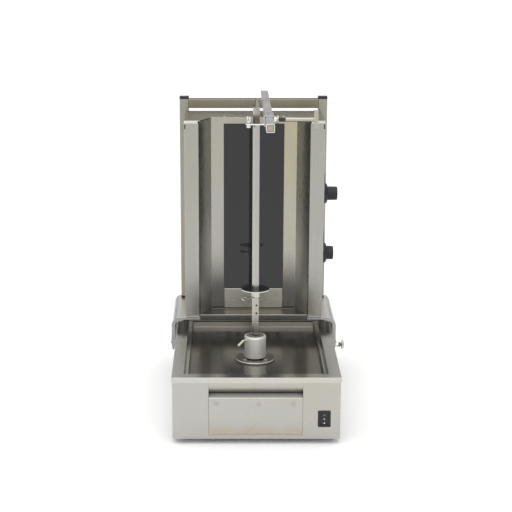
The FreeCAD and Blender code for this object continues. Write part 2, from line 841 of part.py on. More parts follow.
def make_socket_lever():
    """Clamp screw in the socket's side with a bent lever."""
    high = D["socket_top"] - 9
    side = D["spit_side"] / 2 + 0.3
    shank = rod("lever_shank", -side, 0.0, high, 3.0, D["socket_radius"] - side + 5, Z_TO_MINUS_X)
    corner = doc.addObject("Part::Sphere", "lever_corner")
    bind(corner, "Radius", 3.0)
    place(corner, -D["socket_radius"] - 5, 0.0, high)
    lever = rod("lever_arm", -D["socket_radius"] - 5, 0.0, high, 3.0, 16.0,
                Rotation(Vector(0, 0, 1), Vector(-0.80, -0.22, -0.50)))
    whole = subpart(fuse("socket_lever_whole", [shank, corner, lever]), "socket_lever_screw")
    place(whole, 0.0, spit_y, 0.0, Rotation(AXIS_Z, D["spit_turn"].number))
    return whole


def make_spit():
    """Square bar with a pyramid point and cross holes for the disc's pin."""
    body = new_body("spit")
    half = D["spit_side"] / 2
    top = D["spit_tip"]
    extrude(body, "XY", [rectangle(-half, half, -half, half)], D["spit_foot"], top)
    rise = top - D["spit_shoulder"]
    for plane in ("YZ", "XZ"):
        for side in (-1, 1):
            wedge = [(side * (half + 1), D["spit_shoulder"]), (side * half, D["spit_shoulder"]),
                     (side * 0.4, D["spit_shoulder"] + rise), (side * 0.4, top + 1),
                     (side * (half + 1), top + 1)]
            pocket(body, plane, [polygon(wedge)], -half - 1, half + 1)
    radius = D["cross_hole_radius"]
    pocket(body, "YZ", [circle(0.0, D["pin_height"], radius)], -half - 1, half + 1)
    pitch = D["cross_hole_pitch"]
    holes = [circle(0.0, D["pin_height"] - pitch * (i + 1), radius) for i in range(2)]
    pocket(body, "XZ", holes, -half - 1, half + 1)
    place(body, 0.0, spit_y, 0.0, Rotation(AXIS_Z, D["spit_turn"].number))
    return body


def make_disc():
    """Meat disc: a thin plate on a short hub with a square hole."""
    body = new_body("meat_disc")
    top = D["disc_top"]
    low = top - D["disc_thick"]
    spin(body, [(0.0, low - 14), (8.2, low - 14), (8.2, low), (D["disc_radius"] - 0.5, low),
                (D["disc_radius"], low + 0.5), (D["disc_radius"], top), (0.0, top)])
    side = D["spit_side"] / 2 + 0.25
    pocket(body, "XY", [rectangle(-side, side, -side, side)], low - 15, top + 1)
    place(body, 0.0, spit_y, 0.0, Rotation(AXIS_Z, D["spit_turn"].number))
    return body


def make_disc_pin():
    """Pin through the spit under the disc, with a pull ring at its end."""
    height = D["pin_height"]
    stem = rod("pin_stem", -21.0, 0.0, height, 1.5, 32.0, Z_TO_X)
    ring = doc.addObject("Part::Torus", "pin_ring")
    bind(ring, "Radius1", 4.6)
    bind(ring, "Radius2", 1.0)
    place(ring, -25.5, 0.0, height, Rotation(AXIS_X, 35))
    whole = subpart(fuse("disc_pin_whole", [stem, ring]), "disc_pin")
    place(whole, 0.0, spit_y, 0.0, Rotation(AXIS_Z, D["spit_turn"].number))
    return whole


# ---------------------------------------------------------------- tower


def make_saddle(label, side):
    """Hooked profile that rests over one side of the base and carries the tower."""
    body = new_body(label)
    top, flat = D["saddle_top"], D["saddle_flat"]
    outer, wall = D["saddle_outer"], D["saddle_wall"]
    low = D["saddle_bottom"]
    inner = outer - wall
    outline = [(D["saddle_inner"], top - flat), (D["saddle_inner"], top), (outer, top), (outer, low + 8),
               (outer - 2, low), (inner + 2, low), (inner, low + 8), (inner, top - wall),
               (inner - 12, top - wall), (inner - 19, top - flat)]
    extrude(body, "XZ", [polygon([(side * as_size(x), z) for x, z in outline])], D["saddle_front"],
            D["saddle_rear"])
    round_edges(body, lambda e: along(e, AXIS_Y) and near(e, x=side * outer, z=top), 17.0)
    round_edges(body, lambda e: along(e, AXIS_Y) and near(e, x=side * inner, z=top - wall), 10.0)
    round_edges(body, lambda e: along(e, AXIS_Y) and near(e, z=low), 1.6)
    ridge = [(outer - 1, 104.0), (outer + 1.6, 105.4), (outer + 2.2, 107.0), (outer + 1.6, 108.6),
             (outer - 1, 110.0)]
    extrude(body, "XZ", [polygon([(side * x, z) for x, z in ridge])], D["saddle_front"],
            D["saddle_rear"])
    if side > 0:
        y, z = D["wing_front"], D["thumbscrew_height"]
        extrude(body, "YZ", [circle(y, z, 5.4)], outer - 1, outer + 7)
        pocket(body, "YZ", [circle(y, z, 3.06)], inner - 1, outer + 8)
    return body


def make_glide_blocks():
    """Four plastic glides between the saddles and the deck."""
    glides = []
    under = D["saddle_top"] - D["saddle_flat"]
    for side in (-1, 1):
        for y in (D["saddle_front"] + 6, D["saddle_rear"] - 36):
            name = f"glide_{side + 1}_{int(y.number)}"
            low, high = (144.0, 150.0) if side > 0 else (-150.0, -144.0)
            glides.append(block(name, (low, high), (y, y + 30), (deck_top + 0.3, under)))
    return group("glide_blocks", glides)


def make_saddle_thumbscrew():
    """Thumbscrew whose point bears on the side of the base."""
    body = new_body("saddle_thumbscrew")
    reach = D["saddle_outer"] - housing_half_width - 0.3
    spin(body, [(0.0, -reach), (2.2, -reach), (3.0, -reach + 1), (3.0, 12.4), (6.0, 13.0), (10.0, 14.0),
                (10.0, 15.6), (8.6, 17.6), (5.0, 19.3), (0.0, 19.3)])
    notch = pocket(body, "XY", [circle(10.4, 0.0, 0.8)], 12.0, 20.0)
    repeat_round(body, notch, 16)
    place(body, D["saddle_outer"], D["wing_front"], D["thumbscrew_height"], Z_TO_X)
    return body


def make_post(label, side):
    """Square tube upright behind the heater housing."""
    body = new_body(label)
    half = D["tube_side"] / 2
    inner = half - D["tube_wall"]
    low = D["saddle_top"] + D["cap_height"]
    extrude(body, "XY", [rectangle(-half, half, -half, half), rectangle(-inner, inner, -inner, inner)],
            low, D["post_top"])
    round_edges(body, lambda e: along(e, AXIS_Z) and abs(e.CenterOfMass.x) > inner.number + 0.5, 1.5)
    place(body, side * D["post_centre"], D["rail_front"] + half, 0.0)
    return body


def make_post_caps():
    """Black plugs in the ends of the posts."""
    caps = []
    half = D["tube_side"] / 2
    plug = half - D["tube_wall"]
    y = D["rail_front"] + half
    height = D["cap_height"]
    for side in (-1, 1):
        x = side * D["post_centre"]
        for low, inward in ((D["saddle_top"], 8), (D["post_top"], -8)):
            head = block(f"cap_{side + 1}_{inward + 8}", (x - half, x + half), (y - half, y + half),
                         (low, low + height))
            start = low + (height if inward > 0 else inward)
            stub = block(f"cap_stub_{side + 1}_{inward + 8}", (x - plug, x + plug),
                         (y - plug, y + plug), (start, start + 8))
            caps.append(fuse(f"cap_whole_{side + 1}_{inward + 8}", [head, stub]))
    return group("post_caps", caps)


def make_top_rail():
    """Square tube that joins the posts at the top."""
    body = new_body("top_rail")
    half = D["tube_side"] / 2
    inner = half - D["tube_wall"]
    reach = D["post_centre"] - half
    extrude(body, "YZ", [rectangle(-half, half, -half, half), rectangle(-inner, inner, -inner, inner)],
            -reach, reach)
    round_edges(body, lambda e: along(e, AXIS_X) and abs(e.CenterOfMass.y) > inner.number + 0.5, 1.5)
    place(body, 0.0, D["rail_front"] + half, D["post_top"] - half)
    return body


def recess_outline(front_y, back_y):
    """Plan of the recess between the splayed panels, between two depths."""
    slope = (D["wing_inner"] - D["splay_inner"]) / (D["glass_plane"] - D["wing_front"])
    front = D["wing_inner"] - slope * (as_size(front_y) - D["wing_front"])
    back = D["wing_inner"] - slope * (as_size(back_y) - D["wing_front"])
    return polygon([(-front, front_y), (front, front_y), (back, back_y), (-back, back_y)])


def make_heater_housing():
    """Sides, top and bottom of the heater, open to the front and back."""
    body = new_body("heater_housing")
    w = D["tower_half_width"]
    low, high = D["saddle_top"], D["tower_top"]
    outer = rectangle(-w, w, low, high)
    inner = rectangle(-w + skin, w - skin, low + skin, high - skin)
    front = D["wing_front"]
    extrude(body, "XZ", [outer, inner], front, D["rail_front"] - skin)
    pocket(body, "XY", [recess_outline(front - 1, D["glass_plane"] + skin)], low - 1, high + 1)
    slope = D["top_slope"]
    corner = [(front - 1, high - slope - 1), (front + slope + 1, high + 1), (front - 1, high + 1)]
    pocket(body, "YZ", [polygon(corner)], -w - 1, w + 1)
    round_edges(body, lambda e: along(e, AXIS_Y) and near(e, z=high, within=0.01), D["bend_radius"])
    holes = [circle(x, y, 1.7) for x, y in frame_screw_places()]
    pocket(body, "XY", holes, high - skin - 1, high + 1)
    shafts = [circle(D["knob_back"], D[height], 4.2) for height in ("upper_knob_height", "lower_knob_height")]
    pocket(body, "YZ", shafts, w - skin - 1, w + 1)
    vents = [rectangle(-60.0 + 22 * i, -48.0 + 22 * i, 150.0, 180.0) for i in range(6)]
    pocket(body, "XY", vents, low - 1, low + skin + 1)
    return body


def make_wing(label, side):
    """Front strip with its sloped top edge and foot, and splayed reflector panel."""
    body = new_body(label)
    front, plane = D["wing_front"], D["glass_plane"]
    edge, fold, end = D["tower_half_width"] - skin, D["wing_inner"], D["splay_inner"]
    thick, slope = D["splay_skin"], D["top_slope"]
    low, high = D["saddle_top"] + skin, D["tower_top"]
    outline = [(edge, front), (fold, front), (end, plane), (end + thick, plane),
               (fold + thick - 0.4, front + skin), (edge, front + skin)]
    extrude(body, "XY", [polygon([(side * x, y) for x, y in outline])], low, high - slope)
    round_edges(body, lambda e: along(e, AXIS_Z) and near(e, x=side * fold, y=front, within=0.05),
                D["bend_radius"])
    start = fold - 4
    depth = front + (start - fold) / (end - fold) * (plane - front)
    splay = [(start, depth), (end, plane), (end + thick, plane), (start + thick, depth)]
    extrude(body, "XY", [polygon([(side * x, y) for x, y in splay])], low, high - slope / 2)
    top_edge = [(front, high - slope), (front + slope - skin, high - skin),
                (front + slope + 0.4, high - skin), (front + skin, high - slope - 0.4)]
    extrude(body, "YZ", [polygon(top_edge)], *sorted_pair(side * (fold + 1.5), side * edge))
    notch = rectangle(*sorted_pair(side * (edge - 2.4), side * (edge + 1)), high - 17, high - 7)
    pocket(body, "XZ", [notch], front - 1, front + skin + 0.5)
    foot = rectangle(*sorted_pair(side * (fold + 1), side * (edge - 1)), front - 6, front + 0.2)
    extrude(body, "XY", [foot], low, low + 1.6)
    round_edges(body, lambda e: along(e, AXIS_X) and near(e, y=front - 6, z=low + 1.6, within=0.05),
                D["bend_radius"])
    return body


def sorted_pair(first, second):
    """Two sizes in rising order."""
    return (first, second) if first.number < second.number else (second, first)


def make_glass_frame():
    """Steel frame around the ceramic glass."""
    body = new_body("glass_frame")
    plane = D["glass_plane"]
    w = D["splay_inner"] + D["splay_skin"]
    low, high = D["saddle_top"] + skin, D["tower_top"] - skin
    window = rectangle(-D["window_half_width"], D["window_half_width"], D["window_bottom"],
                       D["window_top"])
    extrude(body, "XZ", [rectangle(-w, w, low, high), window], plane, plane + skin)
    round_edges(body, lambda e: near(e, y=plane, within=0.01) and abs(e.CenterOfMass.x) < w.number - 5,
                0.4)
    return body


def make_glass():
    """Ceramic glass plate behind the frame."""
    body = new_body("ceramic_glass")
    w = D["window_half_width"] + 8
    start = D["glass_plane"] + skin
    extrude(body, "XZ", [rectangle(-w, w, D["window_bottom"] - 8, D["window_top"] + 5)], start,
            start + D["glass_thick"])
    round_edges(body, lambda e: along(e, AXIS_Y), 4.0)
    return body


def make_lower_plate():
    """Shallow steel pan under the glass, its edges turned back to the frame."""
    body = new_body("lower_plate")
    w = D["window_half_width"] - 1.5
    low, high = D["saddle_top"] + 5, D["window_bottom"]
    front, plane = D["glass_plane"] - 4, D["glass_plane"]
    extrude(body, "XZ", [rectangle(-w, w, low, high)], front, plane)
    round_edges(body, lambda e: along(e, AXIS_Y), 1.5)
    round_edges(body, lambda e: near(e, y=front, within=0.01), D["bend_radius"])
    pocket(body, "XZ", [rectangle(-w + skin, w - skin, low + skin, high - skin)], front + skin,
           plane + 1)
    return body


def make_recess_floor():
    """Plate that closes the bottom of the recess, with a bead along its rear."""
    body = new_body("recess_floor")
    low = D["saddle_top"] + 2
    front, plane = D["wing_front"] + 3, D["glass_plane"]
    extrude(body, "XY", [recess_outline(front, plane)], low, low + skin)
    round_edges(body, lambda e: along(e, AXIS_X) and near(e, y=front, z=low + skin, within=0.05), 0.5)
    reach = D["splay_inner"] - 1
    bead = rectangle(-reach, reach, plane - 8, plane - 6)
    extrude(body, "XY", [bead], low + 0.5, low + skin + 1.4)
    round_edges(body, lambda e: along(e, AXIS_X) and near(e, z=low + skin + 1.4, within=0.05), 0.6)
    return body


def make_element(label, low):
    """Radiant ribbon: parallel runs joined at alternate ends."""
    width, pitch, strip, runs = 104.0, 12.0, 5.0, 11
    pieces = []
    for i in range(runs):
        level = (pitch * i, pitch * i + strip)
        pieces.append(block(f"{label}_run_{i}", (-width / 2, width / 2), (0.0, 1.2), level))
    for i in range(runs - 1):
        x = (width / 2 - strip, width / 2) if i % 2 == 0 else (-width / 2, -width / 2 + strip)
        level = (pitch * i, pitch * (i + 1) + strip)
        pieces.append(block(f"{label}_end_{i}", x, (0.0, 1.2), level))
    whole = subpart(fuse(f"{label}_whole", pieces), label)
    place(whole, 0.0, D["glass_plane"] + 20, low)
    return whole


def make_element_trays():
    """Two insulating trays that hold the ribbons."""
    trays = []
    start = D["glass_plane"] + 8
    for name, low in (("lower", 214.0), ("upper", 398.0)):
        outer = block(f"{name}_tray_outer", (-68.0, 68.0), (start, start + 18), (low, low + 165))
        inner = block(f"{name}_tray_inner", (-60.0, 60.0), (start - 1, start + 13.2), (low + 8, low + 157))
        trays.append(cut(f"{name}_tray_cut", outer, [inner]))
    return group("element_trays", trays)


def make_insulation():
    """Insulation board behind the trays."""
    start = D["glass_plane"] + 26
    item = block("insulation_block", (-84.0, 84.0), (start, start + 20), (206.0, 571.0))
    return subpart(item, "insulation_board")


def make_regulators():
    """Two heat regulators on the side wall, each with its threaded neck."""
    items = []
    wall = D["tower_half_width"] - skin
    for name in ("upper", "lower"):
        z = D[f"{name}_knob_height"]
        y = D["knob_back"]
        case = block(f"{name}_regulator_case", (wall - 32, wall), (y - 18, y + 18), (z - 20, z + 20))
        neck = rod(f"{name}_regulator_neck", wall - 1, y, z, 4.0, 3.6, Z_TO_X)
        bore = rod(f"{name}_regulator_bore", wall - 12, y, z, 3.05, 16.0, Z_TO_X)
        items.append(cut(f"{name}_regulator", fuse(f"{name}_regulator_solid", [case, neck]), [bore]))
    return group("heat_regulators", items)


def make_knob(label, height, gap, grip_length):
    """Control knob: a round skirt with a plain grip and a pointer rib, on its own spindle."""
    body = new_body(label)
    skirt, grip = D["knob_skirt_radius"], D["knob_grip_radius"]
    start = as_size(gap)
    spin(body, [(0.0, start), (skirt, start), (skirt, start + 2.5), (skirt - 1, start + 4.5),
                (skirt - 3, start + 6), (grip + 0.4, start + 7), (grip, start + grip_length - 1),
                (grip - 1, start + grip_length), (0.0, start + grip_length)])
    spindle = extrude(body, "XY", [circle(0.0, 0.0, 3.0)], -10.0, start + 1)
    rib = [rectangle(-1.6, 1.6, 4.0, skirt - 1)]
    extrude(body, "XY", rib, start + 3, start + grip_length + 0.6)
    place(body, D["tower_half_width"], D["knob_back"], height, Z_TO_X)
    return spindle


def make_rear_cover():
    """Flat cover at the back of the heater housing, with louvre slots."""
    body = new_body("rear_cover")
    w = D["tower_half_width"]
    rear = D["rail_front"]
    extrude(body, "XZ", [rectangle(-w, w, D["saddle_top"], D["tower_top"])], rear - skin, rear)
    slots = []
    for row_index in range(6):
        z = 500.0 + 12 * row_index
        slots += [rectangle(x, x + 50, z, z + 4) for x in (-100.0, -25.0, 50.0)]
    pocket(body, "XZ", slots, rear - skin - 1, rear + 1)
    gland_hole = circle(D["tower_gland_x"], D["tower_gland_z"], D["gland_hole"])
    pocket(body, "XZ", [gland_hole], rear - skin - 1, rear + 1)
    holes = [circle(x, z, 1.7) for x, z in rear_screw_places()]
    pocket(body, "XZ", holes, rear - skin - 1, rear + 1)
    return body


def rear_screw_places():
    """Three screws down each side of the rear cover."""
    return [(side * 125.0, z) for side in (-1, 1) for z in (190.0, 380.0, 575.0)]


def frame_screw_places():
    """Two screws in the heater's top, just behind the glass frame."""
    return [(side * 63.0, D["glass_plane"] + 3.5) for side in (-1, 1)]


def make_casing_screws():
    """Screws of the rear cover and of the heater's top."""
    screws = []
    rear = D["rail_front"]
    for i, (x, z) in enumerate(rear_screw_places()):
        screws.append(screw(f"rear_screw_{i}", x, rear, z, (3.5, 2.0), (1.5, 7.0), Z_TO_Y))
    for i, (x, y) in enumerate(frame_screw_places()):
        screws.append(screw(f"frame_screw_{i}", x, y, D["tower_top"], (3.4, 2.0), (1.5, 5.0)))
    return group("casing_screws", screws)


# ---------------------------------------------------------------- arm


def make_arm():
    """Square tube on top of the rail that reaches over the spit."""
    body = new_body("arm_tube")
    half = D["arm_side"] / 2
    inner = half - D["tube_wall"]
    rear = D["rail_front"] + D["tube_side"]
    extrude(body, "XZ", [rectangle(-half, half, -half, half), rectangle(-inner, inner, -inner, inner)],
            D["arm_front"], rear)
    round_edges(body, lambda e: along(e, AXIS_Y) and abs(e.CenterOfMass.x) > inner.number + 0.3, 2.0)
    place(body, D["arm_centre"], 0.0, arm_mid)
    return body


def make_collar():
    """Short square tube that slides on the arm, with a boss for the lock screw."""
    body = new_body("arm_collar")
    inner = D["arm_side"] / 2 + D["collar_gap"]
    outer = inner + D["collar_wall"]
    front, rear = D["collar_front"], D["collar_rear"]
    extrude(body, "XZ", [rectangle(-outer, outer, -outer, outer), rectangle(-inner, inner, -inner, inner)],
            front, rear)
    round_edges(body, lambda e: along(e, AXIS_Y) and abs(e.CenterOfMass.x) > inner.number + 0.3, 2.6)
    middle = front + 21
    extrude(body, "YZ", [circle(middle, 0.0, 5.5)], inner + 0.5, outer + 4)
    pocket(body, "YZ", [circle(middle, 0.0, 4.06)], inner - 1, outer + 5)
    place(body, D["arm_centre"], 0.0, arm_mid)
    return body


def make_clamp_plate():
    """Plate welded under the collar, with the ring hole that steadies the spit's top."""
    body = new_body("clamp_plate")
    top = arm_mid - D["arm_side"] / 2 - D["collar_gap"] - D["collar_wall"]
    low = top - 2.5
    right = D["arm_centre"] + 10
    front, rear = spit_y - 11, spit_y + 11
    extrude(body, "XY", [rectangle(-21.0, right, front, rear)], low, top)
    round_edges(body, lambda e: along(e, AXIS_Z) and e.CenterOfMass.x < 0, 6.0)
    pocket(body, "XY", [circle(0.0, spit_y, 8.3), circle(-14.5, spit_y, 2.56)], low - 1, top + 1)
    return body


def make_wing_screw():
    """Wing screw at the end of the clamp plate."""
    top = arm_mid - D["arm_side"] / 2 - D["collar_gap"] - D["collar_wall"]
    shank = rod("wing_shank", 0.0, 0.0, -9.0, 2.5, 15.0)
    hub = rod("wing_hub", 0.0, 0.0, 0.3, 4.4, 5.0)
    wings = []
    for side in (-1, 1):
        blade = block(f"wing_blade_{side + 1}", (-1.1, 1.1), sorted_floats(side * 2.0, side * 6.4),
                      (2.5, 13.0))
        wings.append(blade)
    nut = rod("wing_nut", 0.0, 0.0, -9.0, 4.6, 5.0)
    whole = subpart(fuse("wing_screw_whole", [shank, hub, nut] + wings), "clamp_wing_screw")
    place(whole, -14.5, spit_y, top, Rotation(AXIS_Z, 25))
    return whole


def sorted_floats(first, second):
    """Two numbers in rising order."""
    return (min(first, second), max(first, second))


def make_lock_handle():
    """Lock screw of the collar: a long rod with a flat cross bar at its end."""
    start = D["arm_side"] / 2 + 0.2
    stem = rod("lock_stem", start, 0.0, 0.0, 4.0, 88.0 - start, Z_TO_X)
    washer = rod("lock_disc", 16.0, 0.0, 0.0, 8.5, 2.4, Z_TO_X)
    bar = block("lock_bar", (87.0, 95.5), (-4.5, 4.5), (-18.5, 18.5))
    rounded = doc.addObject("Part::Fillet", "lock_bar_rounded")
    rounded.Base = bar
    doc.recompute()
    crossing = [i for i, e in enumerate(bar.Shape.Edges, start=1)
                if along(e, AXIS_X) or along(e, AXIS_Y)]
    rounded.Edges = [(i, 1.5, 1.5) for i in crossing]
    whole = subpart(fuse("lock_handle_whole", [stem, washer, rounded]), "collar_lock_handle")
    place(whole, D["arm_centre"], D["collar_front"] + 21, arm_mid)
    return whole


def build():
    """Makes every sub-part."""
    make_base_housing()
    make_floor_plate()
    make_deck()
    make_drip_pan()
    make_feet()
    make_base_screws()
    make_grip_roll()
    make_drawer_runners()
    make_bearing_flange()
    make_flange_screws()
    make_spindle_bearing()
    make_bush()
    make_gear_motor()
    make_motor_bracket()
    make_capacitor()
    make_terminal_block()
    make_gland("base_cable_gland", D["base_gland_x"], housing_half_depth, D["base_gland_z"])
    make_switch_housing()
    make_rocker()
    make_drawer_front()
    make_drawer_tray()
    make_drive_gear()
    make_pinion()
    make_spindle()
    make_socket()
    make_socket_lever()
    make_spit()
    make_disc()
    make_disc_pin()
    make_saddle("left_saddle", -1)
    make_saddle("right_saddle", 1)
    make_glide_blocks()
    make_saddle_thumbscrew()
    make_post("left_post", -1)
    make_post("right_post", 1)
    make_post_caps()
    make_top_rail()
    make_heater_housing()
    make_wing("left_wing", -1)
    make_wing("right_wing", 1)
    make_glass_frame()
    make_glass()
    make_lower_plate()
    make_recess_floor()
    make_element("lower_element", 222.0)
    make_element("upper_element", 406.0)
    make_element_trays()
    make_insulation()
    make_regulators()
    make_knob("upper_knob", D["upper_knob_height"], 5.5, 28.0)
    make_knob("lower_knob", D["lower_knob_height"], 5.5, 21.5)
    make_rear_cover()
    make_gland("tower_cable_gland", D["tower_gland_x"], D["rail_front"], D["tower_gland_z"])
    make_casing_screws()
    make_arm()
    make_collar()
    make_clamp_plate()
    make_wing_screw()
    make_lock_handle()


def check_and_write():
    """Recomputes, checks every object and writes one file for each sub-part."""
    doc.recompute()
    for item in doc.Objects:
        if "Invalid" in item.State or "Error" in item.State:
            raise RuntimeError(f"{item.Label} failed: {item.State}")
    for item in SUBPARTS:
        if item.Shape.isNull() or not item.Shape.isValid() or not item.Shape.Solids:
            raise RuntimeError(f"{item.Label} has no valid shape")
    os.makedirs("parts", exist_ok=True)
    for item in SUBPARTS:
        item.Shape.exportStep(f"parts/{item.Label}.step")
        print(f"{item.Label}: {len(item.Shape.Solids)} solid(s), {item.Shape.Volume / 1000:.1f} cm3")


build()
check_and_write()
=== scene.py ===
import json
import math

import bmesh
import bpy
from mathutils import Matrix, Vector


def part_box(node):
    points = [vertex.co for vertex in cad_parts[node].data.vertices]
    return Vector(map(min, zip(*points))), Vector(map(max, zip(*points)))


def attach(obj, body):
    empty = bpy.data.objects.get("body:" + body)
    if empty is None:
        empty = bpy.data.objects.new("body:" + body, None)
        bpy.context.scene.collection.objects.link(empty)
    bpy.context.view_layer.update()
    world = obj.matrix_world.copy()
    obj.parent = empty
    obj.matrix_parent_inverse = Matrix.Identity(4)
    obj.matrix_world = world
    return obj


# The looks of a countertop vertical broiler: brushed and polished sheet steel around the packed
# frame, turned and plated fittings, moulded plastic, dark ceramic glass.

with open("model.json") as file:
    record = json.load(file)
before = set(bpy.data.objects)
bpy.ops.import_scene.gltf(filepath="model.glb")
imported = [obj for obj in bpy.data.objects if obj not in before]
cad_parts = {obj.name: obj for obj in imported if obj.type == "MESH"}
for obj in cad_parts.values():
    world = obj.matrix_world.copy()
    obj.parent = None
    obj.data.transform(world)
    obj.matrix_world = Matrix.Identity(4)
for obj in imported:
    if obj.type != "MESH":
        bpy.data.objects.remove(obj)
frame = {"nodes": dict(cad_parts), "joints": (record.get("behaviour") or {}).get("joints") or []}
NODES = frame["nodes"]
JOINTS = {joint["name"]: joint for joint in frame["joints"]}
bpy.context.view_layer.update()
X, Y, Z = 0, 1, 2

# Axes of the spit and of the motor's pinion, as points on the ground.
SPIT = tuple(JOINTS["spit_spin"]["pos_m"][:2]) + (0.0,)
MOTOR = tuple(JOINTS["pinion_spin"]["pos_m"][:2]) + (0.0,)

# Strength of the world's light at the horizon, overhead, and what the front adds.
WORLD_LOW = 0.12
WORLD_TOP = 1.35
WORLD_FRONT = 0.75
# The one lamp: its place, the point it looks at, its side in metres and its power in watts.
LAMP_PLACE = (-0.5, -0.9, 2.9)
LAMP_AIM = (0.0, 0.0, 0.3)
LAMP_SIZE = 2.2
LAMP_POWER = 12.0
# The camera: its place, its downward tilt in degrees, its lens in millimetres, the frame's shift.
CAMERA_PLACE = (-0.053, -2.7069, 1.0259)
CAMERA_TILT = 14.78
CAMERA_LENS = 94.1
CAMERA_SHIFT = 0.0524

# Colours that several pieces share.
STEEL = (0.50, 0.485, 0.455)
TOWER_STEEL = (0.37, 0.365, 0.335)
FLOOR_WHITE = (0.93, 0.93, 0.93)
# How closely brushing marks are packed along x, y and z, for three directions of the grain.
GRAINS = {
    "across": (5.0, 5.0, 1900.0),
    "up": (1900.0, 1900.0, 5.0),
    "deep": (1900.0, 5.0, 1900.0),
}
# Distance over which fine bumps act, in metres.
FINE = 0.0001
# Upward lean given to the normal that the glass is shaded with.
GLASS_LEAN = 0.05
# Turn of the spit in degrees, and its cross holes: height, and whether each runs front to back.
SPIT_TURN = 26.0
CROSS_HOLES = ((0.2558, False), (0.2393, True), (0.2228, True))

# Places where a look changes, each as the start and the end of its fade, in metres. The last
# three are distances: from the middle of a cross hole, and twice from the spit's axis.
DECK_SHADE_Y = (0.100, 0.106)
FLANGE_TOP_Z = (0.1262, 0.1268)
BAR_RIGHT_X = (0.055, 0.065)
BAR_HEAT_Z = (0.35, 0.52)
BAR_FOOT_Z = (0.200, 0.290)
WING_SPLAY_Y = (0.0600, 0.0640)
WING_FOOT_Z = (0.24, 0.40)
SPIT_FOOT_Z = (0.185, 0.225)
HOLE_RIM = (0.0019, 0.0021)
SOCKET_BORE = (0.0085, 0.0100)
SOCKET_RIM = (0.0165, 0.0185)
# Thickness of the thumbscrew's head and radius of its stem.
THUMB_HEAD = 0.0065
THUMB_STEM = 0.0055


# ---------------------------------------------------------------- material graphs


